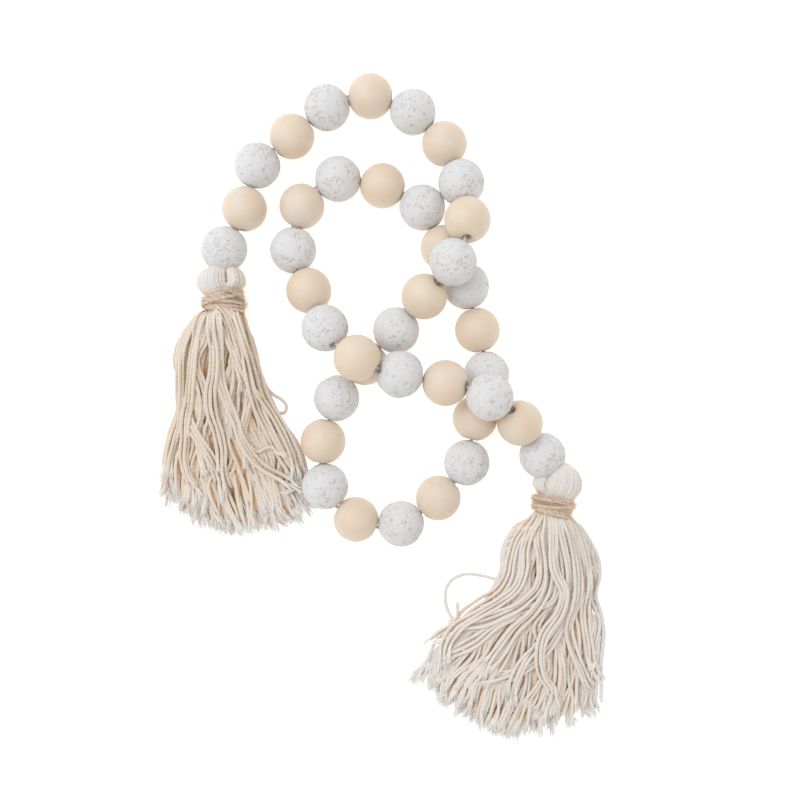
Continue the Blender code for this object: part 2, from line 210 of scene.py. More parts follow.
# How a skirt falls, a row for each section across it: the X and Y of its left edge, of its middle
# and of its right edge, and the height of its crown.
LEFT_FALLS = (
    (-80.0, 42.5, -70.5, 41.5, -61.0, 40.5, 17.0),
    (-86.5, 38.0, -71.5, 33.5, -60.0, 35.0, 15.5),
    (-93.0, 30.0, -72.5, 24.5, -57.5, 25.5, 13.5),
    (-95.5, 20.0, -74.0, 12.5, -55.0, 15.5, 12.5),
    (-94.5, 8.0, -73.5, 2.0, -51.0, 5.5, 11.5),
    (-94.0, -1.0, -72.5, -9.0, -45.0, -6.5, 10.5),
    (-98.0, -13.0, -71.5, -22.5, -37.0, -18.5, 9.0),
    (-101.0, -27.0, -69.5, -37.5, -33.5, -30.5, 8.0),
    (-103.5, -43.0, -66.0, -55.0, -30.0, -46.5, 7.0),
)
RIGHT_FALLS = (
    (67.0, -47.5, 76.5, -48.5, 86.0, -50.5, 17.0),
    (62.3, -52.4, 75.5, -56.0, 91.5, -55.0, 15.5),
    (57.8, -58.6, 75.5, -64.5, 96.0, -62.0, 13.0),
    (54.5, -66.0, 75.0, -72.5, 100.0, -70.0, 11.5),
    (54.0, -74.5, 74.0, -82.0, 100.5, -77.5, 11.0),
    (50.5, -82.5, 72.5, -91.0, 98.5, -86.0, 10.5),
    (45.5, -90.5, 70.0, -100.0, 101.0, -94.5, 9.5),
    (38.0, -98.0, 67.5, -110.0, 102.5, -105.0, 8.5),
    (30.0, -106.0, 65.0, -121.5, 103.0, -116.0, 7.5),
    (22.0, -114.0, 61.5, -133.5, 103.5, -126.0, 6.5),
    (14.5, -122.5, 58.5, -147.0, 103.0, -136.5, 6.0),
)

# Yarns that lie on top of a skirt, each a list of places in plan from the neck down.
LEFT_LAID = (
    (
        (-73.6, 42.6), (-69.9, 41.4), (-66.3, 37.4), (-64.6, 32.1), (-64.0, 24.1),
        (-64.7, 15.2), (-66.3, 6.3), (-67.4, -2.6), (-67.6, -11.6),
    ),
    (
        (-73.2, 43.2), (-68.3, 41.9), (-64.7, 37.4), (-62.8, 31.2), (-61.9, 24.1), (-61.9, 16.9),
        (-60.5, 9.8), (-59.2, 2.7), (-60.3, -4.4), (-61.9, -11.6), (-61.2, -18.7), (-58.5, -24.9),
    ),
    (
        (-74.1, 42.8), (-71.0, 40.8), (-68.3, 35.7), (-67.0, 29.4), (-65.6, 24.1), (-63.4, 18.7),
        (-61.2, 12.5), (-59.4, 6.3),
    ),
    (
        (-76.3, 42.1), (-77.7, 36.5), (-79.0, 29.4), (-83.0, 22.3), (-83.3, 16.9), (-80.9, 9.8),
        (-79.4, 2.7), (-79.7, -4.4), (-81.7, -11.6), (-81.2, -20.5), (-79.0, -28.5),
    ),
    (
        (-77.2, 42.3), (-83.9, 37.4), (-88.8, 31.2), (-91.0, 22.3), (-90.6, 11.6), (-89.7, 0.9),
        (-86.1, -8.9), (-80.8, -16.9), (-76.3, -24.9), (-73.6, -32.9), (-72.9, -41.0),
    ),
    (
        (-64.7, 42.6), (-61.9, 34.8), (-60.3, 24.1), (-58.5, 13.4), (-56.7, 4.5), (-54.9, -2.6),
        (-50.5, -11.6), (-46.0, -20.5), (-40.7, -29.4), (-38.7, -35.6), (-41.6, -38.5),
    ),
    (
        (-72.3, 42.3), (-71.9, 32.1), (-72.3, 21.4), (-71.7, 11.6), (-69.2, 2.7), (-65.6, -6.2),
        (-63.0, -14.2), (-58.5, -22.2), (-53.2, -28.5), (-46.0, -32.9), (-38.9, -36.5),
    ),
    (
        (-75.0, 42.6), (-75.4, 33.0), (-74.4, 24.1), (-74.7, 15.2), (-76.3, 6.3), (-75.9, -2.6),
        (-73.6, -11.6), (-72.3, -20.5), (-71.9, -29.4), (-69.9, -38.3),
    ),
    (
        (-80.8, 41.4), (-86.1, 34.8), (-89.7, 25.9), (-90.6, 16.9), (-91.0, 6.3), (-91.5, -4.4),
        (-94.1, -13.3), (-96.4, -22.2), (-96.8, -31.2), (-98.6, -39.2),
    ),
    (
        (-79.0, 41.9), (-82.1, 33.9), (-83.9, 24.1), (-85.2, 13.4), (-86.6, 2.7), (-88.3, -6.2),
        (-88.5, -15.1), (-89.0, -24.0), (-86.6, -32.9), (-82.4, -39.2),
    ),
    (
        (-64.2, 41.7), (-60.8, 32.1), (-58.3, 21.4), (-55.8, 12.5), (-53.4, 4.5), (-48.2, -4.4),
        (-43.4, -13.3), (-39.9, -22.2), (-37.7, -31.2),
    ),
    ((-58.5, -17.8), (-55.8, -20.3), (-53.2, -19.4), (-49.6, -18.7), (-46.0, -21.8)),
)
RIGHT_LAID = (
    (
        (76.2, -47.4), (77.1, -57.4), (77.9, -68.6), (78.7, -77.5), (76.5, -86.4), (69.6, -89.9),
        (60.6, -93.6), (51.7, -98.6), (42.8, -106.4), (34.5, -110.9), (27.2, -113.7),
    ),
    (
        (72.9, -48.0), (69.6, -57.4), (71.2, -68.6), (70.7, -79.7), (64.0, -87.5), (55.1, -93.1),
        (45.1, -97.5), (34.5, -99.7), (26.1, -105.3),
    ),
    (
        (74.6, -47.4), (72.9, -58.5), (74.6, -70.8), (74.0, -81.9), (68.4, -90.8), (60.6, -99.7),
        (55.1, -107.5), (49.5, -115.3), (46.2, -123.1),
    ),
    (
        (78.5, -47.4), (80.1, -55.2), (82.4, -64.1), (86.3, -73.0), (87.4, -81.9), (84.6, -90.8),
        (80.7, -99.7), (74.0, -109.8), (66.2, -117.6), (57.3, -122.0), (48.4, -125.4),
    ),
    (
        (77.3, -47.4), (79.0, -57.4), (81.8, -68.6), (82.9, -78.6), (81.8, -88.6), (77.4, -98.6),
        (70.7, -107.5), (64.0, -116.4), (59.5, -126.5), (57.9, -135.4),
    ),
    (
        (81.8, -49.1), (87.4, -55.2), (90.7, -64.1), (92.9, -73.0), (93.5, -81.9), (92.4, -90.8),
        (92.9, -99.7), (94.3, -108.7), (95.2, -117.6), (98.5, -125.4),
    ),
    (
        (80.7, -48.5), (84.6, -58.5), (87.4, -69.7), (88.5, -80.8), (87.4, -90.8), (85.1, -99.7),
        (86.3, -108.7), (89.8, -117.6), (93.8, -127.0),
    ),
    (
        (71.2, -47.4), (65.4, -53.6), (60.8, -60.4), (58.3, -69.0), (57.0, -76.8), (53.2, -83.6),
        (46.4, -89.4), (38.4, -95.2), (32.7, -101.7), (25.8, -106.1), (21.4, -113.6),
    ),
    (
        (71.2, -47.4), (66.2, -55.2), (64.0, -64.1), (63.8, -73.0), (60.6, -81.9), (52.9, -88.6),
        (43.9, -94.2), (35.0, -99.7), (29.5, -107.5), (28.4, -115.3),
    ),
    (
        (75.7, -47.4), (76.2, -60.8), (77.4, -73.0), (81.8, -83.0), (79.6, -93.1), (72.9, -103.1),
        (71.2, -113.1), (72.9, -122.0), (77.4, -128.7), (76.2, -135.4),
    ),
)

# Yarns that leave a skirt on their own, each a list of places from the neck down.
LEFT_STRAYS = (
    (
        (-62.0, 36.0, 9.0), (-57.0, 22.0, 6.0), (-53.5, 10.5, 4.0), (-50.0, 5.6, 2.5),
        (-46.2, 3.1, 1.3), (-43.9, 0.4, 1.0), (-44.5, -2.9, 1.0), (-47.6, -3.1, 1.3),
        (-51.4, -0.6, 2.2),
    ),
)
RIGHT_STRAYS = (
    (
        (72.0, -56.0, 13.0), (69.5, -66.0, 11.0), (67.0, -74.0, 8.0), (61.0, -78.0, 4.0),
        (54.0, -79.5, 2.0), (47.0, -78.0, 1.2), (39.5, -77.0, 1.0), (34.0, -78.5, 1.0),
        (30.5, -81.5, 1.0), (29.0, -86.0, 1.0), (29.5, -92.0, 1.0), (32.0, -97.0, 1.0),
        (34.2, -99.0, 1.5), (34.6, -92.5, 2.2),
    ),
)

# A lobe of a tassel's head: its middle and half width as shares of the head's half width, its
# height as a share of the head's, how far its top stands along the head, and its yarns.
Lobe = namedtuple("Lobe", "middle half_width height top tip yarns")

# A turn of twine that slants over the others: its start and end round the neck, in radians from
# the right side up and over, how far along the neck it starts and ends, how it bows, and how many
# twine radii it lies over the helix.
Crossing = namedtuple("Crossing", "start end low high bow layer")

# A tassel: the lower end of its neck, the way its head points, and what hangs and winds there.
# Its wedge widens the binding to the right, its sweep draws the top yarns aside, and pale
# # whitens all its skirt's yarns with painted light.
Tassel = namedtuple(
    "Tassel",
    "name root_x root_y back_x back_y lobes wedge crossings sweep pale falls laid strays seed",
)
TASSELS = [
    Tassel(
        "left", -70.5, 41.5, -0.1, 0.995,
        (Lobe(-0.33, 0.65, 1.0, 11.6, 0.0, 31), Lobe(0.63, 0.34, 0.84, 10.6, 0.45, 17)),
        0.42,
        (
            Crossing(-0.5, 3.5, 2.0, 8.2, 1.0, 1.7),
            Crossing(0.2, 3.6, 8.6, 3.6, 0.7, 2.6),
            Crossing(-0.6, 1.35, 3.4, 10.4, 1.6, 3.2),
        ),
        0.3, 0.0, LEFT_FALLS, LEFT_LAID, LEFT_STRAYS, 21,
    ),
    Tassel(
        "right", 76.0, -49.5, 0.2, 0.98,
        (Lobe(0.22, 0.76, 1.0, 14.3, 0.0, 36), Lobe(-0.72, 0.25, 0.62, 8.0, -0.5, 13)),
        0.1,
        (Crossing(-0.4, 3.4, 7.6, 2.6, 1.0, 1.7), Crossing(1.4, 3.9, 7.8, 6.2, 1.0, 2.4)),
        -0.4, 0.9, RIGHT_FALLS, RIGHT_LAID, RIGHT_STRAYS, 22,
    ),
]
NECK_HEIGHT = 9.2
NECK_RADIUS = 7.4
NECK_LENGTH = 9.8
HEAD_HALF_WIDTH = 10.3
HEAD_HALF_HEIGHT = 9.2
HEAD_YARN = 1.06
HEAD_STATIONS = 24

# A lobe's rings from the neck up: the share of its length, and of its width there.
LOBE_RINGS = (
    (-0.35, 0.66), (-0.1, 0.7), (0.1, 0.9), (0.32, 1.0),
    (0.58, 0.96), (0.82, 0.76), (0.96, 0.42), (0.99, 0.12),
)


AS_COLOUR = {"subtype": "COLOR", "min": 0.0, "max": 1.0}


class StoneBeadSettings(bpy.types.PropertyGroup):
    """Size and colours of the porous stone beads"""

    radius: FloatProperty(
        name="Radius", description="From a stone bead's middle to its skin", default=0.0103,
        min=0.005, max=0.02, unit="LENGTH",
    )
    pits: IntProperty(
        name="Single pits", description="Pits of one bead outside its clusters", default=90,
        min=0, max=200,
    )
    colour: FloatVectorProperty(
        name="Colour", description="Colour of the stone's skin",
        default=(0.745, 0.745, 0.75), **AS_COLOUR,
    )
    # This colour mottles the stone a little, and is the painted shade in its pits and fine pores.
    mottle_and_pit_shade: FloatVectorProperty(
        name="Pit colour", description="Colour at the bottom of a pit",
        default=(0.68, 0.63, 0.58), **AS_COLOUR,
    )


class WoodBeadSettings(bpy.types.PropertyGroup):
    """Size and colours of the wooden beads"""

    radius: FloatProperty(
        name="Radius", description="From a wooden bead's middle to its skin", default=0.0101,
        min=0.005, max=0.02, unit="LENGTH",
    )
    colour: FloatVectorProperty(
        name="Colour", description="Colour of the pale wood",
        default=(0.76, 0.67, 0.58), **AS_COLOUR,
    )
    grain_colour: FloatVectorProperty(
        name="Grain colour", description="Colour of the darker grain",
        default=(0.77, 0.615, 0.45), **AS_COLOUR,
    )


class CottonSettings(bpy.types.PropertyGroup):
    """Size and colours of the cotton yarns"""

    yarn: FloatProperty(
        name="Yarn radius", description="Radius of a yarn in the skirt", default=0.00067,
        min=0.0003, max=0.003, unit="LENGTH",
    )
    yarns: IntProperty(
        name="Yarns", description="Yarns in each tassel's skirt", default=205, min=10, max=300,
    )
    colour: FloatVectorProperty(
        name="Colour", description="Colour of the natural cotton",
        default=(0.65, 0.645, 0.65), **AS_COLOUR,
    )
    # The warm colour is a random warm tone of some yarns, and painted warm shade on a pile's lower
    # layers.
    warm_tone_and_shade: FloatVectorProperty(
        name="Warm colour", description="Colour of the warmer yarns",
        default=(0.79, 0.68, 0.57), **AS_COLOUR,
    )
    # The deep colour is painted shade deep between the yarns and in their ply grooves.
    deep_painted_shade: FloatVectorProperty(
        name="Deep colour", description="Colour deep between the yarns",
        default=(0.99, 0.62, 0.28), **AS_COLOUR,
    )
    # The side colour is painted light, the warm glow of the yarns' sides.
    painted_side_light: FloatVectorProperty(
        name="Side colour", description="Colour of the yarns' sides, lit by those next to them",
        default=(0.99, 0.77, 0.50), **AS_COLOUR,
    )
    # The tip colour is painted light that whitens the yarns where the tip mark is set.
    painted_light_colour: FloatVectorProperty(
        name="Tip colour", description="Colour of the yarns' whitest stretches",
        default=(0.775, 0.77, 0.775), **AS_COLOUR,
    )
    fibre_colour: FloatVectorProperty(
        name="Fibre colour", description="Colour of the frayed ends",
        default=(0.94, 0.92, 0.90), **AS_COLOUR,
    )


class TwineSettings(bpy.types.PropertyGroup):
    """Size and colours of the jute twine"""

    radius: FloatProperty(
        name="Twine radius", description="Radius of the jute twine", default=0.0008,
        min=0.0003, max=0.003, unit="LENGTH",
    )
    colour: FloatVectorProperty(
        name="Colour", description="Colour of the jute",
        default=(0.68, 0.515, 0.375), **AS_COLOUR,
    )
    light_colour: FloatVectorProperty(
        name="Light colour", description="Colour of the paler jute fibres",
        default=(0.82, 0.70, 0.59), **AS_COLOUR,
    )


class StageSettings(bpy.types.PropertyGroup):
    """Camera and light"""

    camera_height: FloatProperty(
        name="Camera height", description="Of the camera above the beads' middle",
        default=0.45, min=0.2, max=3.0, unit="LENGTH",
    )
    floor_glow: FloatProperty(
        name="Floor glow", description="Light that the floor gives off, as a light table does",
        default=0.45, min=0.0, max=5.0,
    )
    sky: FloatProperty(
        name="Sky", description="Strength of the light from all round", default=0.75,
        min=0.0, max=5.0,
    )
    lamp: FloatProperty(
        name="Lamp", description="Power of the soft lamp", default=5.0, min=0.0, max=100.0,
        unit="POWER",
    )


def unit(vectors):
    """Vectors of length one, along the last axis."""
    return vectors / np.maximum(np.linalg.norm(vectors, axis=-1, keepdims=True), 1e-9)


def curve_through(points, samples):
    """Points on a smooth curve through the given ones, taken at samples counted in their steps.
    points may hold many curves side by side, along the axes after the first."""
    last = len(points) - 1
    step = np.clip(np.floor(samples).astype(int), 0, last - 1)
    share = (np.asarray(samples) - step).reshape(-1, *([1] * (points.ndim - 1)))
    before, start = points[np.maximum(step - 1, 0)], points[step]
    end, after = points[step + 1], points[np.minimum(step + 2, last)]
    leave, arrive = (end - before) / 2, (after - start) / 2
    return (
        start * (2 * share**3 - 3 * share**2 + 1)
        + leave * (share**3 - 2 * share**2 + share)
        + end * (3 * share**2 - 2 * share**3)
        + arrive * (share**3 - share**2)
    )


def mesh_from(shape, name, smooth=True):
    """A mesh of a bmesh, which is freed."""
    mesh = bpy.data.meshes.new(name)
    shape.to_mesh(mesh)
    shape.free()
    if smooth:
        mesh.shade_smooth()
    return mesh


def vertex_places(shape):
    """The places of a bmesh's vertices."""
    return np.array([vertex.co for vertex in shape.verts])


def move_vertices(shape, places):
    """Puts a bmesh's vertices in new places."""
    for vertex, place in zip(shape.verts, places):
        vertex.co = place


def add_object(name, data):
    """An object of a mesh, lamp or camera, in the scene."""
    item = bpy.data.objects.new(name, data)
    bpy.context.scene.collection.objects.link(item)
    return item


def tube_mesh(stations, sides, copies):
    """Copies of a straight closed tube in one mesh. Its rings lie a unit apart along Z, and its
    UV map holds each corner's ring and turn."""
    shape = bmesh.new()
    ring = bmesh.ops.create_circle(shape, segments=sides, radius=1.0)
    bmesh.ops.spin(
        shape,
        geom=ring["verts"] + list(shape.edges),
        cent=(0.0, 0.0, 0.0),
        axis=(0.0, 0.0, 1.0),
        dvec=(0.0, 0.0, 1.0),
        angle=0.0,
        steps=stations - 1,
        use_merge=False,
        use_duplicate=False,
    )
    bmesh.ops.holes_fill(shape, edges=list(shape.edges), sides=0)
    bmesh.ops.recalc_face_normals(shape, faces=list(shape.faces))
    lay = shape.loops.layers.uv.new("lay")
    for face in shape.faces:
        turns = [math.atan2(loop.vert.co.y, loop.vert.co.x) / math.tau % 1.0 for loop in face.loops]
        crosses = max(turns) - min(turns) > 0.5
        for loop, turn in zip(face.loops, turns):
            loop[lay].uv = (loop.vert.co.z, turn + 1.0 if crosses and turn < 0.5 else turn)
    item = add_object("straight_tube", mesh_from(shape, "straight_tube", smooth=sides > 3))
    row = item.modifiers.new("copies", "ARRAY")
    row.count = copies
    row.use_relative_offset = False
    graph = bpy.context.evaluated_depsgraph_get()
    mesh = bpy.data.meshes.new_from_object(item.evaluated_get(graph))
    bpy.data.objects.remove(item)
    return mesh


def carried_frames(paths):
    """The ways up and aside at every station of every path, carried on from one to the next and
    levelled little by little where the path lies."""
    along = unit(np.gradient(paths, axis=1))
    up = np.empty_like(paths)
    steep = np.abs(along[:, 0] @ UP)[:, None] > 0.9
    up[:, 0] = np.where(steep, np.array((1.0, 0.0, 0.0)), UP)
    for station in range(paths.shape[1]):
        way = along[:, station]
        lying = 1.0 - np.abs(way @ UP)[:, None]
        carried = up[:, max(station - 1, 0)] + LEVELLING * lying * UP
        up[:, station] = unit(carried - way * (carried * way).sum(axis=1, keepdims=True))
    return up, np.cross(along, up)


def lay_strands(paths, radii, sides, marks, plies=None, wide=1.0, tall=1.0):
    """One mesh of many strands. paths holds (strands, stations, 3) points and radii the radius at
    each. A strand of several plies has as many lobes. marks are kept as attributes, each with a
    value for each strand, or each strand and station."""
    strands, stations, _ = paths.shape
    mesh = tube_mesh(stations, sides, strands)
    straight = np.empty(len(mesh.vertices) * 3)
    mesh.vertices.foreach_get("co", straight)
    straight = straight.reshape(strands, -1, 3)
    station = straight[..., 2].round().astype(int)
    angle = np.arctan2(straight[..., 1], straight[..., 0])
    steps = np.linalg.norm(np.diff(paths, axis=1), axis=2)
    length = np.concatenate([np.zeros((strands, 1)), np.cumsum(steps, axis=1)], axis=1)
    strand = np.arange(strands)[:, None]
    reach = radii[strand, station]
    if plies:
        winding = math.tau * length[strand, station] / plies.pitch
        reach = reach * (1.0 + plies.depth * np.cos(plies.count * (angle - winding)))
    up, aside = carried_frames(paths)
    spoke = up[strand, station] * np.sin(angle)[..., None] * tall
    spoke = spoke + aside[strand, station] * np.cos(angle)[..., None] * wide
    place = paths[strand, station] + spoke * reach[..., None]
    skyward = unit(spoke)[..., 2]
    place[..., 2] = np.maximum(place[..., 2], FLOOR_CLEARANCE)
    mesh.vertices.foreach_set("co", (place * MM).ravel())
    lay = mesh.uv_layers["lay"]
    corners = np.empty(len(lay.data) * 2)
    lay.data.foreach_get("uv", corners)
    corners = corners.reshape(strands, -1, 2)
    corners[..., 0] = length[strand, corners[..., 0].round().astype(int)]
    lay.data.foreach_set("uv", corners.ravel())
    for name, values in marks.items():
        values = np.broadcast_to(np.asarray(values).reshape(strands, -1), (strands, stations))
        keep_mark(mesh, name, values[strand, station])
    # How far each place faces down; the cotton paints light onto the yarns' sides from this.
    keep_mark(mesh, "under", (1.0 - skyward) / 2)
    mesh.update()
    return mesh


def put_piece(name, mesh, material, slot, *nodes):
    """Makes a piece of a mesh: it rides on the garland and stands for the nodes given."""
    mesh.name = name
    mesh.materials.clear()
    mesh.materials.append(material)
    item = add_object(name, mesh)
    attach(item, BODY)
    if nodes:
        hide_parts(*nodes)


def feed(tree, node, sockets):
    """Links or sets a node's inputs, each given by its name or place."""
    for key, source in sockets.items():
        if isinstance(source, bpy.types.NodeSocket):
            tree.links.new(source, node.inputs[key])
        else:
            node.inputs[key].default_value = source


def add_node(tree, kind, sockets, **settings):
    """A node of a kind, with its properties set and its inputs linked or set."""
    node = tree.nodes.new(kind)
    for name, value in settings.items():
        setattr(node, name, value)
    feed(tree, node, sockets)
    return node


def new_material(name, roughness, sheen=0.0, specular=0.5):
    """A material with a Principled BSDF, and its node tree. Its sheen is a warm down."""
    material = bpy.data.materials.new(name)
    material.use_nodes = True
    tree = material.node_tree
    shader = tree.nodes["Principled BSDF"]
    feed(tree, shader, {
        "Roughness": roughness,
        "Sheen Weight": sheen,
        "Specular IOR Level": specular,
        "Sheen Tint": DOWN_TINT,
    })
    return material, tree, shader


def reckon(tree, operation, *values):
    """The output of a Math node."""
    return add_node(tree, "ShaderNodeMath", dict(enumerate(values)), operation=operation).outputs[0]


def times(tree, first, second):
    """The product of two values."""
    return reckon(tree, "MULTIPLY", first, second)


def mix_colours(tree, share, *colours):
    """The output of a Mix node between two colours."""
    first, second = (
        colour if isinstance(colour, bpy.types.NodeSocket) else (*colour, 1.0) for colour in colours
    )
    sockets = {"Factor": share, FIRST_COLOUR: first, SECOND_COLOUR: second}
    return add_node(tree, "ShaderNodeMix", sockets, data_type="RGBA").outputs[MIXED_COLOUR]


def speckle(tree, vector, scale, detail, roughness=0.5):
    """The output of a Noise node."""
    sockets = {"Vector": vector, "Scale": scale, "Detail": detail, "Roughness": roughness}
    return add_node(tree, "ShaderNodeTexNoise", sockets).outputs["Fac"]


def remap(tree, value, low, high, to_low=0.0, to_high=1.0):
    """The output of a Map Range node."""
    sockets = {
        "Value": value, "From Min": low, "From Max": high, "To Min": to_low, "To Max": to_high,
    }
    return add_node(tree, "ShaderNodeMapRange", sockets).outputs["Result"]


def read_mark(tree, name, output="Fac"):
    """The output of an Attribute node."""
    return add_node(tree, "ShaderNodeAttribute", {}, attribute_name=name).outputs[output]


def raise_surface(tree, shader, height, strength, distance, below=None):
    """Puts a Bump node on a shader, over another bump where one is given."""
    sockets = {"Height": height, "Strength": strength, "Distance": distance}
    if below is not None:
        sockets["Normal"] = below
    raised = add_node(tree, "ShaderNodeBump", sockets).outputs["Normal"]
    feed(tree, shader, {"Normal": raised})
    return raised


def stone_material(settings):
    """White porous stone: matte, slightly mottled, with painted shade in its fine pores, which lie in
    patches, and in its pits.
    """
    material, tree, shader = new_material("white_porous_stone", 0.95, specular=0.2)
    place = add_node(tree, "ShaderNodeTexCoord", {}).outputs["Object"]
    mottle = speckle(tree, place, 260.0, 4.0, 0.6)
    grit = speckle(tree, place, 2200.0, 3.0, 0.7)
    bend = add_node(tree, "ShaderNodeTexNoise", {"Vector": place, "Scale": 1500.0})
    sockets = {0: bend.outputs["Color"], 1: PORE_SHIFT, 2: place}
    shift = add_node(tree, "ShaderNodeVectorMath", sockets, operation="MULTIPLY_ADD")
    sockets = {"Vector": shift.outputs[0], "Scale": 780.0}
    cells = add_node(tree, "ShaderNodeTexVoronoi", sockets, feature="F1")
    size = remap(tree, cells.outputs["Color"], 0.25, 0.85, 0.1, 0.36)
    pore = remap(tree, reckon(tree, "DIVIDE", cells.outputs["Distance"], size), 0.7, 1.1, 1.0, 0.0)
    patch = remap(tree, speckle(tree, place, 240.0, 2.0), 0.44, 0.54)
    pore = times(tree, pore, patch)
    pit = settings.mottle_and_pit_shade
    colour = mix_colours(tree, remap(tree, mottle, 0.35, 0.7, 0.0, 0.12), settings.colour, pit)
    # Painted shade: the fine pores, and the pits by their depth, take the darker pit colour.
    colour = mix_colours(tree, times(tree, pore, 0.55), colour, pit)
    colour = mix_colours(tree, times(tree, read_mark(tree, "pit"), 0.6), colour, pit)
    feed(tree, shader, {"Base Color": colour})
    lower = raise_surface(tree, shader, mottle, 0.6, 0.0005)
    lower = raise_surface(tree, shader, times(tree, pore, -1.0), 0.9, 0.0003, lower)
    raise_surface(tree, shader, grit, 0.35, 0.00012, lower)
    return material


def wood_material(settings):
    """Pale bare wood: faint grain along the tree, turned smooth, with a few fine pores."""
    material, tree, shader = new_material("pale_bare_wood", 0.62, specular=1.0)
    feed(tree, shader, {"Coat Weight": 0.3, "Coat Roughness": 0.65})
    sockets = {"Vector": read_mark(tree, "grain", "Vector"), "Scale": GRAIN_STRETCH}
    drawn = add_node(tree, "ShaderNodeMapping", sockets).outputs["Vector"]
    bands = speckle(tree, drawn, 0.22, 2.0)
    fine = speckle(tree, drawn, 2.2, 4.0, 0.65)
    pores = remap(tree, speckle(tree, drawn, 5.0, 2.0), 0.66, 0.78)
    grain = settings.grain_colour
    colour = mix_colours(tree, remap(tree, bands, 0.35, 0.68), settings.colour, grain)
    colour = mix_colours(tree, remap(tree, fine, 0.45, 0.8, 0.0, 0.35), colour, grain)
    dark = tuple(value * 0.72 for value in grain)
    colour = mix_colours(tree, times(tree, pores, 0.25), colour, dark)
    colour = mix_colours(tree, times(tree, read_mark(tree, "tone"), 0.55), colour, grain)
    feed(tree, shader, {"Base Color": colour})
    lower = raise_surface(tree, shader, fine, 0.12, 0.0002)
    raise_surface(tree, shader, times(tree, pores, -1.0), 0.15, 0.0001, lower)
    return material


def strand_pattern(tree, pitch, plies, stretch):
    """The ridges of a strand's plies and the fibres along them, from its UV map: millimetres along
    and turns round."""
    lay = add_node(tree, "ShaderNodeUVMap", {}, uv_map="lay").outputs["UV"]
    along, turn, _ = add_node(tree, "ShaderNodeSeparateXYZ", {0: lay}).outputs
    winding = reckon(tree, "MULTIPLY_ADD", turn, float(plies), reckon(tree, "DIVIDE", along, pitch))
    ridge = remap(tree, reckon(tree, "SINE", times(tree, winding, math.tau)), -1.0, 1.0)
    lengthwise = times(tree, along, stretch)
    crosswise = times(tree, winding, 3.0)
    apart = times(tree, read_mark(tree, "tone"), 40.0)
    sockets = {0: lengthwise, 1: crosswise, 2: apart}
    place = add_node(tree, "ShaderNodeCombineXYZ", sockets).outputs[0]
    return ridge, speckle(tree, place, 1.0, 3.0, 0.6)


def cotton_material(settings):
    """Natural cotton yarn: soft plies and fine fibres, whitened by painted light where marked, with
    painted warm light on the yarns' sides and painted warm shade in the ply grooves and within the
    pile.
    """
    material, tree, shader = new_material("natural_cotton_yarn", 0.95, sheen=0.9, specular=0.05)
    ridge, fibre = strand_pattern(tree, 2.0, 2, 0.5)
    warm, deep = settings.warm_tone_and_shade, settings.deep_painted_shade
    # The warm colour is mixed in by tone: a random warm tone, and painted warm shade on the lower
    # layers.
    colour = mix_colours(tree, read_mark(tree, "tone"), settings.colour, warm)
    colour = mix_colours(tree, remap(tree, fibre, 0.3, 0.75, 0.0, 0.25), colour, warm)
    # Painted shade: the ply grooves lean towards the deep colour.
    colour = mix_colours(tree, remap(tree, ridge, 0.0, 0.45, 0.2, 0.0), colour, deep)
    # Painted light: the tip mark whitens the yarn.
    colour = mix_colours(tree, read_mark(tree, "tip"), colour, settings.painted_light_colour)
    # The share of painted shade and side light, less where a yarn lies open or is whitened.
    painted_shade_share = reckon(tree, "MULTIPLY_ADD", read_mark(tree, "open"), -0.8, 1.0)
    painted_shade_share = times(tree, painted_shade_share, reckon(tree, "MULTIPLY_ADD", read_mark(tree, "tip"), -0.15, 1.0))
    # Painted light: the yarns' down-facing sides take the warm side colour.
    under = remap(tree, read_mark(tree, "under"), 0.06, 0.42, 0.0, 0.95)
    colour = mix_colours(tree, times(tree, under, painted_shade_share), colour, settings.painted_side_light)
    # Painted shade: yarns buried under others take the deep colour.
    colour = mix_colours(tree, times(tree, read_mark(tree, "buried"), painted_shade_share), colour, deep)
    feed(tree, shader, {"Base Color": colour})
    lower = raise_surface(tree, shader, ridge, 0.4, 0.00028)
    raise_surface(tree, shader, fibre, 0.3, 0.0001, lower)
    return material


def fibre_material(settings):
    """Loose cotton fibres, whiter than the yarns that they open out of."""
    material, tree, shader = new_material("loose_cotton_fibres", 1.0, sheen=0.2, specular=0.05)
    tone = read_mark(tree, "tone")
    colour = mix_colours(tree, tone, settings.fibre_colour, settings.warm_tone_and_shade)
    feed(tree, shader, {"Base Color": colour})
    return material


def jute_material(settings, rough=True):
    """Jute twine: coarse tan fibres in two plies, with painted shade in the grooves between them.
    Its loose hairs are too fine for a relief.
    """
    name = "tan_jute_twine" if rough else "loose_jute_hairs"
    material, tree, shader = new_material(name, 0.85, sheen=0.1, specular=0.2)
    ridge, fibre = strand_pattern(tree, 2.6, 2, 0.6)
    fibres = remap(tree, fibre, 0.3, 0.7)
    colour = mix_colours(tree, fibres, settings.colour, settings.light_colour)
    # Painted shade: the grooves between the plies are darkened.
    dark = tuple(value * 0.7 for value in settings.colour)
    colour = mix_colours(tree, remap(tree, ridge, 0.0, 0.4, 0.4, 0.0), colour, dark)
    feed(tree, shader, {"Base Color": colour})
    if rough:
        lower = raise_surface(tree, shader, ridge, 0.4, 0.0003)
        raise_surface(tree, shader, fibre, 0.6, 0.00025, lower)
    return material


# A bead as the frame holds it.
Bead = namedtuple("Bead", "node number centre bore")


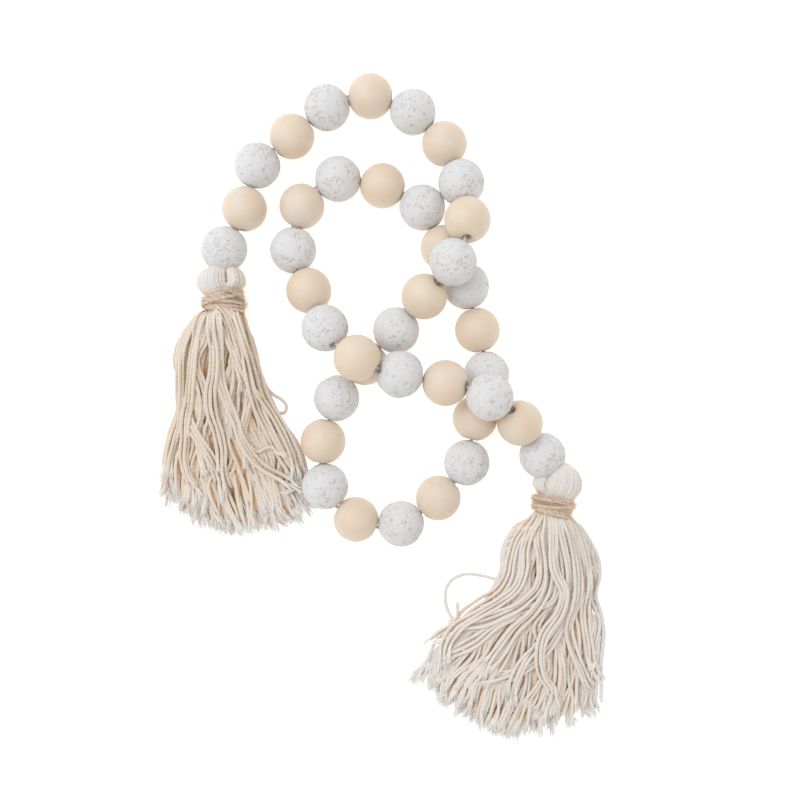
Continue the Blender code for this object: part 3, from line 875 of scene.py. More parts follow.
def find_beads():
    """Every bead's centre and bore along the string, from the rings where the bore's wall ends."""
    beads = []
    for node in sorted((n for n in frame["nodes"] if "_bead_" in n), key=lambda n: n[-2:]):
        mesh = frame["nodes"][node].data
        points = np.array([vertex.co for vertex in mesh.vertices]) / MM
        pairs = np.array([edge.vertices[:] for edge in mesh.edges])
        lengths = np.linalg.norm(points[pairs[:, 0]] - points[pairs[:, 1]], axis=1)
        ends = np.unique(points[pairs[lengths > BORE_WALL].ravel()].round(3), axis=0)
        near = np.linalg.norm(ends - ends[0], axis=1) < BORE_WALL / 2
        mouths = ends[near].mean(axis=0), ends[~near].mean(axis=0)
        beads.append(Bead(node, int(node[-2:]), sum(mouths) / 2, unit(mouths[1] - mouths[0])))
    centres = np.array([bead.centre for bead in beads])
    ways = np.gradient(centres, axis=0)
    return [
        bead._replace(bore=bead.bore * math.copysign(1.0, bead.bore @ way))
        for bead, way in zip(beads, ways)
    ]


def spin_bead(outline):
    """Spins a closed outline of (along X, out from X) points round X."""
    shape = bmesh.new()
    corners = [shape.verts.new((along, 0.0, out)) for along, out in outline]
    edges = [shape.edges.new(pair) for pair in zip(corners, corners[1:] + corners[:1])]
    bmesh.ops.spin(
        shape,
        geom=corners + edges,
        cent=(0.0, 0.0, 0.0),
        axis=(1.0, 0.0, 0.0),
        angle=math.tau,
        steps=BEAD_SEGMENTS,
        use_merge=True,
    )
    bmesh.ops.recalc_face_normals(shape, faces=list(shape.faces))
    return shape


def arc(radius, start, steps):
    """The round part of a bead's outline, from start on one side to the same on the other."""
    turns = np.linspace(start, math.pi - start, steps + 1)
    return [(radius * math.cos(turn), radius * math.sin(turn)) for turn in turns]


def bead_turn(bore):
    """The turn that lays a bead's X along its bore."""
    side = unit(np.cross(UP, bore))
    return np.stack([bore, side, np.cross(bore, side)], axis=1)


def choose_pits(chance, singles):
    """Pits over one bead: the way to each and its radius."""
    ways = []
    sizes = []
    span = PIT_LARGEST - PIT_SMALLEST
    for _ in range(PIT_CLUSTERS):
        middle = unit(chance.normal(size=3))
        for _ in range(CLUSTER_PITS):
            ways.append(unit(middle + chance.normal(size=3) * CLUSTER_SPREAD))
            sizes.append(PIT_SMALLEST + span * chance.random() ** 1.4)
    for _ in range(singles):
        ways.append(unit(chance.normal(size=3)))
        sizes.append(PIT_SMALLEST + span * chance.random() ** 2.5)
    return np.array(ways), np.array(sizes)


def refine_round_pits(shape, ways, sizes, radius):
    """Makes the faces round each pit finer, so that its edge shows."""
    for level in range(PIT_REFINE):
        edges = list(shape.edges)
        middles = np.array([(edge.verts[0].co + edge.verts[1].co) / 2 for edge in edges])
        lengths = np.array([edge.calc_length() for edge in edges])
        outside = np.linalg.norm(middles, axis=1) > radius * 0.9
        apart = np.linalg.norm(unit(middles)[:, None] - ways[None], axis=2) * radius
        close = (apart < sizes * 1.15 + 0.25 / (level + 1)).any(axis=1)
        chosen = [
            edge
            for edge, keep, length in zip(edges, close & outside, lengths)
            if keep and length > PIT_FINEST_EDGE
        ]
        bmesh.ops.subdivide_edges(shape, edges=chosen, cuts=1, use_grid_fill=True)
        bmesh.ops.triangulate(shape, faces=list(shape.faces))


def carve_stone(shape, bead, chance, settings):
    """Lumps, pits and a rough skin on a stone bead, and how deep in a pit each vertex lies."""
    radius = settings.radius / MM
    ways, sizes = choose_pits(chance, settings.pits)
    bmesh.ops.triangulate(shape, faces=list(shape.faces))
    refine_round_pits(shape, ways, sizes, radius)
    places = vertex_places(shape)
    skin = np.linalg.norm(places, axis=1) > radius * 0.985
    outward = unit(places)
    offset = Vector((bead.number * 7.3, 0.0, 0.0))
    rough = np.array([noise.noise_vector(Vector(place) * 1.1 + offset) for place in places])
    apart = (outward[:, None] - ways[None]) * radius + rough[:, None] * PIT_RAGGEDNESS
    drawn = unit(np.cross(ways, chance.normal(size=ways.shape)))
    stretch = chance.uniform(1.0, 1.5, len(ways))
    along = (apart * drawn[None]).sum(axis=2)
    distance = np.sqrt(np.maximum((apart**2).sum(axis=2) - along**2 * (1 - 1 / stretch**2), 0.0))
    share = np.clip(1.0 - (distance / sizes) ** 2, 0.0, 1.0)
    deepest = sizes * chance.uniform(0.55, 1.0, len(ways))
    depth = (share**0.8 * deepest).max(axis=1)
    lumps = np.array([
        sum(height * noise.noise(Vector(place) * pace + offset) for height, pace in LUMPS)
        for place in places
    ])
    moved = places + outward * ((lumps - depth) * skin)[:, None]
    move_vertices(shape, moved)
    return np.clip(depth / PIT_FULL_SHADE, 0.0, 1.0) * skin


def place_bead(shape, bead):
    """Turns a bead's bmesh into a mesh where the bead lies, level with the floor under it."""
    places = vertex_places(shape) @ bead_turn(bead.bore).T
    places += bead.centre
    places[:, 2] = np.maximum(places[:, 2], 0.0)
    move_vertices(shape, places * MM)
    return mesh_from(shape, bead.node)


def keep_mark(mesh, name, values, kind="FLOAT"):
    """Keeps a value for each vertex as an attribute."""
    attribute = mesh.attributes.new(name, kind, "POINT")
    field = "vector" if kind == "FLOAT_VECTOR" else "value"
    attribute.data.foreach_set(field, np.asarray(values, dtype=np.float32).ravel())


class GARLAND_OT_stone_beads(bpy.types.Operator):
    """Carves every porous stone bead"""

    bl_idname = "garland.stone_beads"
    bl_label = "Stone beads"

    def execute(self, context):
        settings = context.scene.garland_stone
        material = stone_material(settings)
        radius = settings.radius / MM
        start = math.asin(STONE_BORE / 2 / radius)
        for bead in find_beads():
            if not bead.node.startswith("stone"):
                continue
            chance = np.random.default_rng(bead.number)
            noise.seed_set(bead.number)
            shape = spin_bead(arc(radius, start, STONE_ARCS))
            pits = carve_stone(shape, bead, chance, settings)
            mesh = place_bead(shape, bead)
            # How deep in a pit each vertex lies, from which the stone paints shade into its pits.
            keep_mark(mesh, "pit", pits)
            put_piece(f"porous_{bead.node}", mesh, material, "white_stone", bead.node)
        return {"FINISHED"}


def wood_outline(radius):
    """A wooden bead's outline: its arc, the flat ends, and the rounded mouths of its bore."""
    start = math.acos(WOOD_REACH / radius)
    bore = WOOD_BORE / 2
    mouth = [
        (WOOD_REACH - WOOD_EDGE * (1 - math.cos(turn)), bore + WOOD_EDGE * (1 - math.sin(turn)))
        for turn in np.linspace(0.0, math.pi / 2, 4)
    ]
    far_mouth = [(-along, out) for along, out in mouth]
    return [*mouth[::-1], *arc(radius, start, WOOD_ARCS), *far_mouth]


class GARLAND_OT_wood_beads(bpy.types.Operator):
    """Turns every wooden bead"""

    bl_idname = "garland.wood_beads"
    bl_label = "Wooden beads"

    def execute(self, context):
        settings = context.scene.garland_wood
        material = wood_material(settings)
        radius = settings.radius / MM
        for bead in find_beads():
            if not bead.node.startswith("wood"):
                continue
            chance = np.random.default_rng(bead.number)
            shape = spin_bead(wood_outline(radius))
            rest = vertex_places(shape)
            tree_axis = unit(chance.normal(size=3))
            grain = rest @ bead_turn(tree_axis) + chance.uniform(-200.0, 200.0, 3)
            mesh = place_bead(shape, bead)
            keep_mark(mesh, "grain", grain[:, [1, 2, 0]], "FLOAT_VECTOR")
            keep_mark(mesh, "tone", np.full(len(rest), chance.random()))
            put_piece(f"turned_{bead.node}", mesh, material, "bare_wood", bead.node)
        return {"FINISHED"}


def taut_mouth(bead, other):
    """Where the taut cord leaves a bead's bore for the other bead: at its mouth's inner side."""
    stone = bead.node.startswith("stone")
    towards = unit(other - bead.centre)
    reach = (STONE_REACH if stone else WOOD_REACH) - CORD_HIDE
    mouth = bead.centre + bead.bore * reach * math.copysign(1.0, bead.bore @ towards)
    room = ((STONE_BORE if stone else WOOD_BORE) - CORD) / 2
    aside = bead.centre + towards * reach - mouth
    return mouth + aside * min(1.0, room / max(np.linalg.norm(aside), 1e-6))


class GARLAND_OT_cord(bpy.types.Operator):
    """Threads the cotton cord through all the beads"""

    bl_idname = "garland.cord"
    bl_label = "Cord"

    def execute(self, context):
        beads = find_beads()
        points = [beads[0].centre - beads[0].bore * CORD_END_REACH]
        for bead, other in zip(beads, beads[1:]):
            points.append(taut_mouth(bead, other.centre))
            points.append(taut_mouth(other, bead.centre))
        points.append(beads[-1].centre + beads[-1].bore * CORD_END_REACH)
        samples = np.linspace(0.0, len(points) - 1.0, CORD_STATIONS * len(points))
        path = curve_through(np.array(points), samples)[None]
        radii = np.full(path.shape[:2], CORD / 2)
        mesh = lay_strands(path, radii, YARN_SIDES, CORD_MARKS, CORD_PLIES)
        put_piece("cotton_cord", mesh, find_cotton(context), "natural_cotton", "stringing_cord")
        return {"FINISHED"}


def find_cotton(context):
    """The cotton yarns' material, made the first time."""
    made = bpy.data.materials.get("natural_cotton_yarn")
    return made or cotton_material(context.scene.garland_cotton)


def tassel_frame(tassel):
    """The lower end of a tassel's neck, and the ways back to its head and to its right."""
    root = np.array((tassel.root_x, tassel.root_y, NECK_HEIGHT))
    back = unit(np.array((tassel.back_x, tassel.back_y, 0.0)))
    return root, back, np.array((back[1], -back[0], 0.0))


def disc_places(count):
    """Evenly filled places in a disc of radius one."""
    turn = np.arange(count) * math.pi * (3 - math.sqrt(5))
    reach = np.sqrt((np.arange(count) + 0.5) / count)
    return reach * np.cos(turn), reach * np.sin(turn)


def nearest_clump(across, up):
    """The clump that each place in a disc belongs to."""
    middle_across, middle_up = disc_places(CLUMPS)
    return np.argmin(np.hypot(across[:, None] - middle_across, up[:, None] - middle_up), axis=1)


def waves(shape, bend, chance):
    """Smooth random sways down each yarn, as (stations, yarns). A bend is its spacing and size."""
    spacing, size = bend
    stations, yarns = shape
    knots = chance.normal(size=(int(stations / spacing) + 3, yarns)) * size
    return curve_through(knots, np.linspace(0.5, len(knots) - 1.5, stations))


def settle_yarns(wanted, spacing, half_width, crown, floor):
    """Parts yarns that lie in each other, at every station across them at once, while each keeps
    near where it wants to lie, inside the skirt's outline and on the floor."""
    pile = wanted.copy()
    for _ in range(SETTLE_ROUNDS):
        square = (pile**2).sum(axis=2)
        apart = square[:, :, None] + square[:, None] - 2 * pile @ pile.transpose(0, 2, 1)
        push = np.clip(spacing[:, None, None] / np.sqrt(np.maximum(apart, 0.01)) - 1.0, 0.0, 1.5)
        push[:, np.arange(pile.shape[1]), np.arange(pile.shape[1])] = 0.0
        pile += PARTING * (pile * push.sum(axis=2, keepdims=True) - push @ pile)
        pile += DRAWING_BACK * (wanted - pile)
        pile[1:-1] += EVENING_OUT * (pile[:-2] + pile[2:] - 2 * pile[1:-1])
        pile[..., 0] = np.clip(pile[..., 0], -half_width, half_width)
        rim = np.sqrt(np.clip(1.0 - (pile[..., 0] / (half_width + 1.0)) ** 2, 0.05, 1.0))
        pile[..., 1] = np.clip(pile[..., 1], floor, floor + (crown - floor) * rim)
    return pile


def buried_depth(pile, thick, half_width):
    """How deep each yarn lies under the ones that cover it, from 0 on top to 1 well inside."""
    beside = np.abs(pile[:, :, None, 0] - pile[:, None, :, 0]) < 1.5 * thick[..., None]
    cover = np.where(beside, pile[:, None, :, 1], -1.0).max(axis=2)
    rim = np.clip(1.0 - (pile[..., 0] / half_width) ** 8, 0.0, 1.0)
    return rim * np.clip((cover - pile[..., 1] - 0.7 * thick) / BURIED_DEPTH, 0.0, 1.0)


def noisy_sways(tassel, run, across, layer, rim):
    """How far each yarn sways aside with its neighbours, as a share of the skirt's half width."""
    seed = tassel.seed
    shared = np.array([
        [noise.noise(Vector((u * 3.4, 4.2 * down, seed))) for u in across] for down in run[:, 0]
    ])
    layered = np.array([
        [
            noise.noise(Vector((u * 1.3, 2.6 * down, seed + 9 + 2.2 * height)))
            for u, height in zip(across, layer)
        ]
        for down in run[:, 0]
    ])
    sweep = np.interp(run, [0.0, 0.2, 0.55, 1.0], [0.0, 0.25, 0.8, 1.0])
    top = np.clip((layer - 0.55) / 0.35, 0.0, 1.0)
    return SHARED_SWAY * shared + LAYERED_SWAY * layered + tassel.sweep * sweep * top * rim


def random_sways(run, clump, chance):
    """How far each yarn sways with its bundle and by itself, and how far it is lifted."""
    grown = np.clip(run / 0.25, 0.0, 1.0)
    bundles = (SKIRT_STATIONS, CLUMPS)
    yarns = (SKIRT_STATIONS, len(clump))
    together = grown * sum(waves(bundles, bend, chance) for bend in BUNDLE_SWAYS)[:, clump]
    alone = grown * sum(waves(yarns, bend, chance) for bend in YARN_SWAYS)
    lift = waves(bundles, BUNDLE_LIFT, chance)[:, clump] + waves(yarns, YARN_LIFT, chance)
    return together, alone, grown * lift


def follow_yarns(places, radii, depth, edge, cut, chance):
    """The stations of each yarn along its places, up to where it is cut off, with its radius, how
    deep it is buried and how open it lies there."""
    count = len(places)
    paths = np.empty((count, YARN_STATIONS, 3))
    sizes, buried, open_air = np.empty((3, count, YARN_STATIONS))
    last = places.shape[1] - 1
    for index in range(count):
        samples = np.linspace(0.0, last * (1.0 - cut[index]), YARN_STATIONS)
        paths[index] = curve_through(places[index], samples)
        sizes[index] = curve_through(radii, samples) * chance.uniform(0.88, 1.14)
        buried[index] = curve_through(depth[:, index], samples)
        open_air[index] = curve_through(edge[:, index], samples)
    return paths, sizes, np.clip(buried, 0.0, 1.0), np.clip(open_air, 0.0, 1.0)


def skirt_paths(tassel, yarn, count, chance):
    """The path of each yarn in a skirt, as (yarns, stations, 3), with its radius, how deep it is
    buried and how open it lies at each station, and how high in the pile it starts."""
    across, up = disc_places(count)
    root, back, side = tassel_frame(tassel)
    rows = np.array(tassel.falls)
    falls = curve_through(rows, np.linspace(0.0, len(rows) - 1.0, SKIRT_STATIONS))
    left, middle, right, crown = falls[:, :2], falls[:, 2:4], falls[:, 4:6], falls[:, 6:]
    run = np.linspace(0.0, 1.0, SKIRT_STATIONS)[:, None]
    spread = np.clip(run / 0.14, 0.0, 1.0)
    spread = spread * spread * (3 - 2 * spread)
    thick = NECK_YARN + (yarn - NECK_YARN) * np.clip(run / 0.08, 0.0, 1.0)
    half_width = np.linalg.norm(right - left, axis=1, keepdims=True) / 2 - thick
    rim = np.sqrt(np.clip(1.0 - across**2, 0.0, None))
    layer = np.clip((up / np.maximum(rim, 0.05) + 1) / 2, 0.0, 1.0)
    clump = nearest_clump(across, up)
    sway = noisy_sways(tassel, run, across, layer, rim) * half_width * spread
    together, alone, lift = random_sways(run, clump, chance)
    sway = sway + together + alone
    low = thick + (1 - spread) * 1.2
    fallen = low + (crown - low - thick) * rim * layer + lift
    bundled = NECK_HEIGHT + up * (NECK_RADIUS - NECK_YARN)
    height = bundled + (fallen - bundled) * spread
    reach = (NECK_RADIUS - NECK_YARN) * (1 - spread) + half_width * spread
    wanted = np.stack([across * reach + sway, height], axis=2)
    pile = settle_yarns(wanted, YARN_SPACING * thick[:, 0], half_width, crown, thick)
    share = pile[..., :1] / (half_width + thick)[..., None]
    plan = middle[:, None] + (right - left)[:, None] / 2 * share
    plan = plan + ((left + right) / 2 - middle)[:, None] * share**2
    places = np.concatenate([plan, pile[..., 1:]], axis=2).transpose(1, 0, 2)
    neck = pile[0, :, :1] * side + np.stack([np.zeros(count)] * 2 + [pile[0, :, 1] - NECK_HEIGHT], 1)
    inside = [(root + back * far + neck * (1 - 0.02 * far))[:, None] for far in NECK_STATIONS]
    places = np.concatenate([*inside, places], axis=1)
    first = len(NECK_STATIONS)
    radii = np.concatenate([np.full(first, NECK_YARN), thick[:, 0]])
    depth = buried_depth(pile, thick, half_width)
    depth = np.concatenate([depth[:1]] * first + [depth])
    edge = np.abs(pile[..., 0] / half_width) ** 8
    edge = np.concatenate([edge[:1]] * first + [edge])
    cut = CUT + CUT_BY_BUNDLE * chance.normal(size=CLUMPS)[clump]
    cut = np.clip(cut + CUT_BY_YARN * chance.normal(size=count), 0.0, CUT_MOST)
    return (*follow_yarns(places, radii, depth, edge, cut, chance), layer)


def clear_beads(paths, sizes):
    """Moves yarns out of the beads that lie beside a skirt."""
    for bead in find_beads():
        apart = paths - bead.centre
        distance = np.linalg.norm(apart, axis=2)
        short = np.clip(BEAD_REACH + sizes - distance, 0.0, None)
        push = unit(apart * np.array((1.0, 1.0, 0.3))) * short[..., None]
        paths = paths + push
    paths[..., 2] = np.maximum(paths[..., 2], sizes)
    return paths


def fray(paths, sizes, chance):
    """The fibres that each yarn's end opens into, like a small broom, and their radii."""
    count = len(paths)
    ends = paths[:, -1]
    ways = unit(paths[:, -1] - paths[:, -4])
    fibres = np.empty((count * FIBRES, FIBRE_STATIONS, 3))
    radii = np.empty((count * FIBRES, FIBRE_STATIONS))
    taper = np.array(FRAY_TAPER)
    steps = np.linspace(0.0, 1.0, FIBRE_STATIONS)[:, None]
    for index in range(count):
        length = chance.uniform(*FRAY_LENGTHS)
        lean = 0.4 * np.array(noise.noise_vector(Vector(ends[index]) * 0.13))
        lean += chance.normal(size=3) * 0.1
        for fibre in range(FIBRES):
            aside = unit(chance.normal(size=3) * np.array((1.0, 1.0, 0.7))) * chance.random() ** 0.5
            start = ends[index] - ways[index] * FRAY_START + aside * sizes[index, -1] * 0.8
            reach = FRAY_START + length * chance.uniform(0.7, 1.0)
            bend = aside * chance.uniform(0.15, 0.42) + lean
            line = start + ways[index] * steps * reach + bend * steps**1.7 * reach * 0.6
            line[:, 2] = np.maximum(line[:, 2], FIBRE)
            fibres[index * FIBRES + fibre] = line
            radii[index * FIBRES + fibre] = FIBRE * chance.uniform(0.7, 1.3) * taper
    return fibres, radii


def stray_paths(tassel):
    """The yarns that leave a skirt on their own."""
    paths = []
    for stray in tassel.strays:
        points = np.array(stray)
        paths.append(curve_through(points, np.linspace(0.0, len(points) - 1.0, YARN_STATIONS)))
    return np.array(paths)


def ribbon_lines(plans, yarn, chance):
    """Lines in plan of the yarns laid side by side along each plan, which part towards the end."""
    run = np.linspace(0.0, 1.0, YARN_STATIONS)
    lines = []
    for plan in plans:
        points = np.array(plan)
        for place in RIBBON if len(plan) > 6 else (0,):
            share = 1.0 - chance.uniform(0.0, 0.12) * abs(place)
            samples = np.linspace(0.0, (len(points) - 1.0) * share, YARN_STATIONS)
            line = curve_through(points, samples)
            way = unit(np.gradient(line, axis=0))
            drift = waves((YARN_STATIONS, 1), LAID_DRIFT, chance)[:, 0] * run
            offset = place * yarn * (2.05 + 1.3 * run * chance.random()) + drift
            lines.append(line + np.column_stack([way[:, 1], -way[:, 0]]) * offset[:, None])
    return lines


def draped_paths(lines, pile, sizes, yarn):
    """Yarns that lie on top of all the others, each over the ones before it."""
    pile = pile.reshape(-1, 3)
    reach = yarn + sizes.ravel()
    paths = []
    for line in lines:
        apart = np.linalg.norm(line[:, None] - pile[None, :, :2], axis=2)
        over = pile[:, 2] + np.sqrt(np.clip(reach**2 - apart**2, 0.0, None))
        height = np.where(apart < reach, over, yarn).max(axis=1)
        padded = np.pad(height, 1, "edge")
        height = np.maximum(np.maximum(padded[:-2], padded[2:]), height)
        for _ in range(4):
            height[1:-1] = (height[:-2] + 2 * height[1:-1] + height[2:]) / 4
        height[:TUCKED] -= np.linspace(TUCK_DEPTH, 0.0, TUCKED)
        path = np.column_stack([line, height])
        paths.append(path)
        pile = np.concatenate([pile, path])
        reach = np.concatenate([reach, np.full(len(path), 2 * yarn)])
    return np.array(paths)


def head_paths(tassel, chance):
    """The yarns looped over a tassel's head, lobe by lobe."""
    root, back, side = tassel_frame(tassel)
    rings = np.array(LOBE_RINGS)
    profile = curve_through(rings, np.linspace(0.0, len(rings) - 1.0, HEAD_STATIONS))
    paths = []
    for lobe in tassel.lobes:
        for index in range(lobe.yarns):
            turn = math.tau * (index + chance.uniform(-0.3, 0.3)) / lobe.yarns
            gather = np.clip(profile[:, 0] * 1.2 + 0.6, 0.45, 1.0)
            lean = (lobe.tip - lobe.middle) * np.clip((profile[:, 0] - 0.45) / 0.55, 0.0, 1.0) ** 2
            middle = (lobe.middle * gather + lean) * HEAD_HALF_WIDTH
            girth = profile[:, 1] * (1.0 + chance.uniform(-0.04, 0.04))
            reach_side = middle + lobe.half_width * HEAD_HALF_WIDTH * girth * math.cos(turn)
            reach_up = lobe.height * HEAD_HALF_HEIGHT * girth * math.sin(turn)
            rise = NECK_LENGTH + profile[:, 0] * lobe.top
            path = root + np.outer(rise, back) + np.outer(reach_side, side)
            paths.append(path + np.outer(reach_up, UP))
    return np.array(paths)


def lobe_core(tassel):
    """The bundle inside a tassel's head and neck, which fills the space under the yarns."""
    root, back, side = tassel_frame(tassel)
    turn = Matrix(np.stack([side, back, UP], axis=1).tolist()).to_4x4()
    shape = bmesh.new()
    for lobe in tassel.lobes:
        middle = root + back * (NECK_LENGTH + lobe.top * 0.42)
        middle = middle + side * (lobe.middle * 0.97 * HEAD_HALF_WIDTH)
        made = bmesh.ops.create_uvsphere(shape, u_segments=24, v_segments=14, radius=1.0)
        scale = Matrix.Diagonal((
            lobe.half_width * HEAD_HALF_WIDTH * 0.93,
            lobe.top * 0.55,
            lobe.height * HEAD_HALF_HEIGHT * 0.93,
            1.0,
        ))
        move = Matrix.Translation(Vector(middle))
        bmesh.ops.transform(shape, matrix=move @ turn @ scale, verts=made["verts"])
    neck = bmesh.ops.create_cone(
        shape, cap_ends=True, segments=28, radius1=NECK_RADIUS, radius2=NECK_RADIUS, depth=NECK_LENGTH
    )
    axis = Vector(back).to_track_quat("Z", "X").to_matrix().to_4x4()
    move = Matrix.Translation(Vector(root + back * (NECK_LENGTH / 2 + 1.0)))
    bmesh.ops.transform(shape, matrix=move @ axis, verts=neck["verts"])
    bmesh.ops.scale(shape, vec=(MM, MM, MM), verts=shape.verts)
    mesh = mesh_from(shape, "core")
    mesh.uv_layers.new(name="lay")
    keep_mark(mesh, "tone", np.full(len(mesh.vertices), CORE_TONE))
    keep_mark(mesh, "tip", np.zeros(len(mesh.vertices)))
    return mesh


def lay_skirt(tassel, settings, cotton, chance):
    """Lays a tassel's skirt, the yarns on top of it and its strays, and gives their paths."""
    yarn = settings.yarn / MM
    paths, sizes, buried, open_air, layer = skirt_paths(tassel, yarn, settings.yarns, chance)
    lines = ribbon_lines(tassel.laid, yarn, chance)
    laid = draped_paths(lines, paths, sizes, yarn)
    strays = stray_paths(tassel)
    loose = np.concatenate([laid, strays])
    paths = np.concatenate([paths, loose])
    sizes = np.concatenate([sizes, np.full(loose.shape[:2], yarn)])
    buried = np.concatenate([buried, np.zeros(loose.shape[:2])])
    open_air = np.concatenate([open_air, np.zeros(laid.shape[:2]), np.ones(strays.shape[:2])])
    layer = np.concatenate([layer, np.ones(len(loose))])
    paths = clear_beads(paths, sizes)
    # Lower layers take more of the warm colour, as painted warm shade deep in the pile, with a random
    # spread.
    tone = np.clip(0.75 - 0.7 * layer + chance.normal(size=len(paths)) * 0.22, 0.0, 1.0)
    # Painted light whitens the yarns near the neck and towards their ends, and pale whitens them all.
    run = np.linspace(0.0, 1.0, YARN_STATIONS)
    whiter = tassel.pale + np.interp(run, PAINTED_LIGHT_RUN, PAINTED_LIGHT_THERE)
    whiter = np.tile(np.minimum(whiter, 1.0), (len(paths), 1))
    # buried sets the painted shade deep in the pile, and open lessens it at the edges and on strays.
    marks = {"tone": tone, "tip": whiter, "buried": buried, "open": open_air}
    skirt = lay_strands(paths, sizes, YARN_SIDES, marks, YARN_PLIES, PRESSED_WIDE, PRESSED_TALL)
    node = f"tassel_{tassel.name}"
    put_piece(f"{node}_skirt", skirt, cotton, "natural_cotton", node)
    return paths, sizes


def open_ends(tassel, paths, sizes, downy, chance):
    """Opens the ends of a skirt's yarns into loose fibres."""
    fibres, radii = fray(paths, sizes, chance)
    ends = lay_strands(fibres, radii, 3, {"tone": chance.uniform(0.0, 0.2, len(fibres))})
    put_piece(f"tassel_{tassel.name}_frayed_ends", ends, downy, "natural_cotton")


def loop_head(tassel, cotton, chance):
    """Loops the yarns over a tassel's head, round its core."""
    loops = head_paths(tassel, chance)
    tone = np.clip(chance.normal(0.15, 0.12, len(loops)), 0.0, 1.0)
    every = np.ones(len(loops))
    # The heads' tip mark whitens them with painted light, and their open mark lessens their painted
    # shade.
    marks = {"tone": tone, "tip": every * HEAD_TIP, "open": every * HEAD_OPEN}
    radii = np.full(loops.shape[:2], HEAD_YARN)
    head = lay_strands(loops, radii, YARN_SIDES, marks, YARN_PLIES)
    put_piece(f"tassel_{tassel.name}_head_loops", head, cotton, "natural_cotton")
    put_piece(f"tassel_{tassel.name}_core", lobe_core(tassel), cotton, "natural_cotton")


class GARLAND_OT_tassels(bpy.types.Operator):
    """Ties both cotton tassels: skirts, frayed ends, strays and looped heads"""

    bl_idname = "garland.tassels"
    bl_label = "Tassels"

    def execute(self, context):
        settings = context.scene.garland_cotton
        cotton = find_cotton(context)
        downy = fibre_material(settings)
        for tassel in TASSELS:
            chance = np.random.default_rng(tassel.seed)
            noise.seed_set(tassel.seed)
            paths, sizes = lay_skirt(tassel, settings, cotton, chance)
            open_ends(tassel, paths, sizes, downy, chance)
            loop_head(tassel, cotton, chance)
        return {"FINISHED"}


def round_neck(tassel, angle, along, reach):
    """Points round a tassel's neck, at angles from its right side up and over."""
    root, back, side = tassel_frame(tassel)
    return (
        root
        + np.outer(along, back)
        + np.outer(reach * np.cos(angle), side)
        + np.outer(reach * np.sin(angle), UP)
    )


def winding_paths(tassel, twine):
    """The twine's paths round a tassel's neck: a helix that is wider on the right, and turns that
    slant over it."""
    angle = np.linspace(0.0, TWINE_TURNS * math.tau, TWINE_STATIONS)
    share = angle / angle[-1]
    along = BINDING_MIDDLE + BINDING_WIDTH * (share - 0.5) * (1.0 + tassel.wedge * np.cos(angle))
    reach = NECK_RADIUS + 0.3 + twine + 0.2 * np.sin(angle * 1.7)
    paths = [round_neck(tassel, angle, along, reach)]
    for crossing in tassel.crossings:
        angle = np.linspace(crossing.start, crossing.end, TWINE_STATIONS)
        share = np.linspace(0.0, 1.0, TWINE_STATIONS)
        along = crossing.low + (crossing.high - crossing.low) * share**crossing.bow
        over = np.clip(np.sin(angle), 0.0, 1.0) ** 0.6
        reach = NECK_RADIUS + 0.2 + twine * (1.0 + crossing.layer * over)
        paths.append(round_neck(tassel, angle, along, reach))
    return np.array(paths)


def twine_hairs(paths, twine, chance):
    """Loose fibres that stand off the twine or lie along it."""
    hairs = np.empty((HAIRS, FIBRE_STATIONS, 3))
    steps = np.linspace(0.0, 1.0, FIBRE_STATIONS)[:, None]
    for index in range(HAIRS):
        path = paths[chance.integers(len(paths))]
        at = chance.integers(2, len(path) - 3)
        way = unit(path[at + 1] - path[at - 1])
        out = unit(np.cross(way, chance.normal(size=3)))
        start = path[at] + out * twine * 0.9
        lean = unit(way * chance.choice((-1.0, 1.0)) * chance.uniform(1.0, 4.0) + out)
        length = chance.uniform(1.0, 3.0)
        hairs[index] = start + lean * steps * length + out * (steps**2) * chance.uniform(0.0, 0.6)
    hairs[..., 2] = np.maximum(hairs[..., 2], HAIR)
    return hairs


class GARLAND_OT_bindings(bpy.types.Operator):
    """Winds the jute twine round both necks"""

    bl_idname = "garland.bindings"
    bl_label = "Jute bindings"

    def execute(self, context):
        settings = context.scene.garland_twine
        jute = jute_material(settings)
        loose = jute_material(settings, rough=False)
        twine = settings.radius / MM
        for tassel in TASSELS:
            node = f"binding_{tassel.name}"
            chance = np.random.default_rng(tassel.seed + 10)
            paths = winding_paths(tassel, twine)
            paths[..., 2] = np.maximum(paths[..., 2], twine * 0.9)
            marks = {"tone": chance.random(len(paths))}
            radii = np.full(paths.shape[:2], twine)
            wound = lay_strands(paths, radii, TWINE_SIDES, marks, TWINE_PLIES)
            put_piece(f"{node}_twine", wound, jute, "jute_twine", node)
            hairs = twine_hairs(paths, twine, chance)
            marks = {"tone": chance.random(len(hairs))}
            fuzz = lay_strands(hairs, np.full(hairs.shape[:2], HAIR), 3, marks)
            put_piece(f"{node}_hairs", fuzz, loose, "jute_twine")
        return {"FINISHED"}


def place_camera(scene, height):
    """Puts the camera over the garland, looking straight down."""
    camera = bpy.data.cameras.new("camera")
    camera.sensor_width = SENSOR
    camera.lens = SENSOR * height / VIEW_WIDTH
    eye = add_object("camera", camera)
    eye.location = (CAMERA_X * MM, CAMERA_Y * MM, (VIEW_HEIGHT + height) * MM)
    scene.camera = eye


def lay_floor(glow):
    """Lays the pale floor, which glows as a light table does."""
    shape = bmesh.new()
    bmesh.ops.create_grid(shape, x_segments=1, y_segments=1, size=FLOOR_HALF)
    mesh = mesh_from(shape, "floor", smooth=False)
    material, tree, shader = new_material("pale_floor", 0.9, specular=0.1)
    feed(tree, shader, {
        "Base Color": FLOOR_COLOUR,
        "Emission Color": FLOOR_LIGHT,
        "Emission Strength": glow,
    })
    mesh.materials.append(material)
    floor = add_object("floor", mesh)
    floor.location = (0.0, 0.0, -FLOOR_DROP)


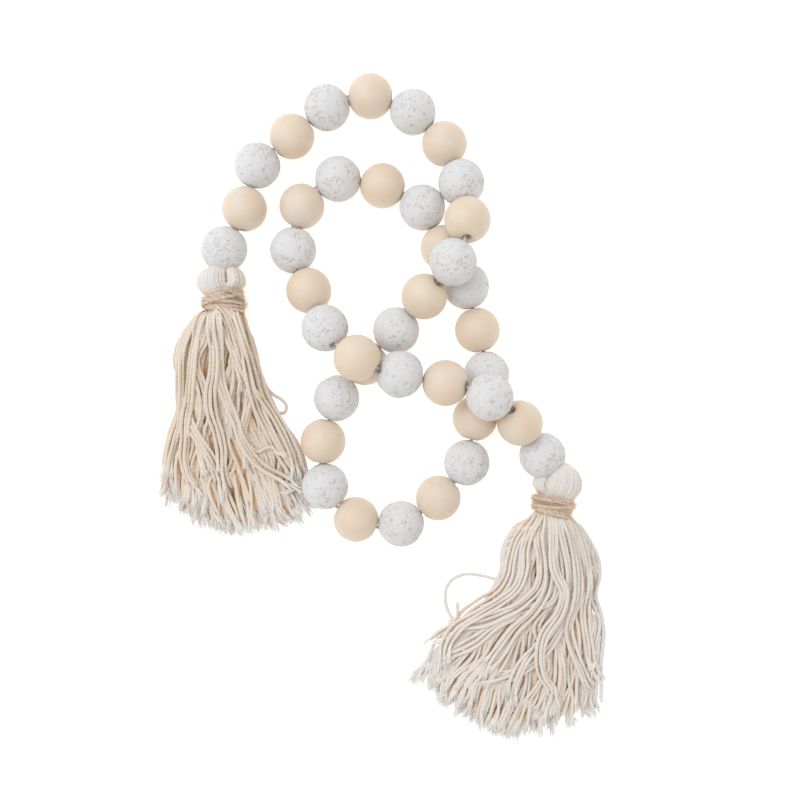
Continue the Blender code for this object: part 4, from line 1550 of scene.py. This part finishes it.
def light_room(scene, sky, power):
    """Lights the garland from all round, and from a soft lamp beside the camera."""
    world = bpy.data.worlds.new("soft_room")
    world.use_nodes = True
    background = world.node_tree.nodes["Background"]
    feed(world.node_tree, background, {"Color": SKY_COLOUR, "Strength": sky})
    scene.world = world
    lamp = bpy.data.lights.new("soft_lamp", "AREA")
    lamp.shape = "SQUARE"
    lamp.size = LAMP_WIDTH
    lamp.energy = power
    lamp.color = LAMP_COLOUR
    item = add_object("soft_lamp", lamp)
    item.location = LAMP_PLACE
    item.rotation_euler = (-item.location).to_track_quat("-Z", "Y").to_euler()


class GARLAND_OT_stage(bpy.types.Operator):
    """Sets the pale floor, the soft light and the camera"""

    bl_idname = "garland.stage"
    bl_label = "Stage"

    def execute(self, context):
        settings = context.scene.garland_stage
        place_camera(context.scene, settings.camera_height / MM)
        lay_floor(settings.floor_glow)
        light_room(context.scene, settings.sky, settings.lamp)
        context.scene.view_settings.view_transform = "Standard"
        return {"FINISHED"}


class GARLAND_PT_pieces(bpy.types.Panel):
    """Lists the garland's pieces and their settings"""

    bl_idname = "GARLAND_PT_pieces"
    bl_label = "Garland"
    bl_space_type = "VIEW_3D"
    bl_region_type = "UI"
    bl_category = "Garland"

    def draw(self, context):
        for operator, settings in PANEL_ROWS:
            box = self.layout.box()
            box.operator(operator)
            group = getattr(context.scene, settings)
            for name in group.__annotations__:
                box.prop(group, name)


PANEL_ROWS = (
    ("garland.stage", "garland_stage"),
    ("garland.stone_beads", "garland_stone"),
    ("garland.wood_beads", "garland_wood"),
    ("garland.cord", "garland_cotton"),
    ("garland.tassels", "garland_cotton"),
    ("garland.bindings", "garland_twine"),
)
SETTINGS = {
    "garland_stone": StoneBeadSettings,
    "garland_wood": WoodBeadSettings,
    "garland_cotton": CottonSettings,
    "garland_twine": TwineSettings,
    "garland_stage": StageSettings,
}
OPERATORS = (
    GARLAND_OT_stage,
    GARLAND_OT_stone_beads,
    GARLAND_OT_wood_beads,
    GARLAND_OT_cord,
    GARLAND_OT_tassels,
    GARLAND_OT_bindings,
)


def register():
    for group in SETTINGS.values():
        bpy.utils.register_class(group)
    for name, group in SETTINGS.items():
        setattr(bpy.types.Scene, name, PointerProperty(type=group))
    for operator in OPERATORS:
        bpy.utils.register_class(operator)
    bpy.utils.register_class(GARLAND_PT_pieces)


def unregister():
    bpy.utils.unregister_class(GARLAND_PT_pieces)
    for operator in reversed(OPERATORS):
        bpy.utils.unregister_class(operator)
    for name in SETTINGS:
        delattr(bpy.types.Scene, name)
    for group in reversed(list(SETTINGS.values())):
        bpy.utils.unregister_class(group)


def main():
    register()
    bpy.ops.garland.stage()
    bpy.ops.garland.stone_beads()
    bpy.ops.garland.wood_beads()
    bpy.ops.garland.cord()
    bpy.ops.garland.tassels()
    bpy.ops.garland.bindings()


if __name__ == "__main__":
    main()
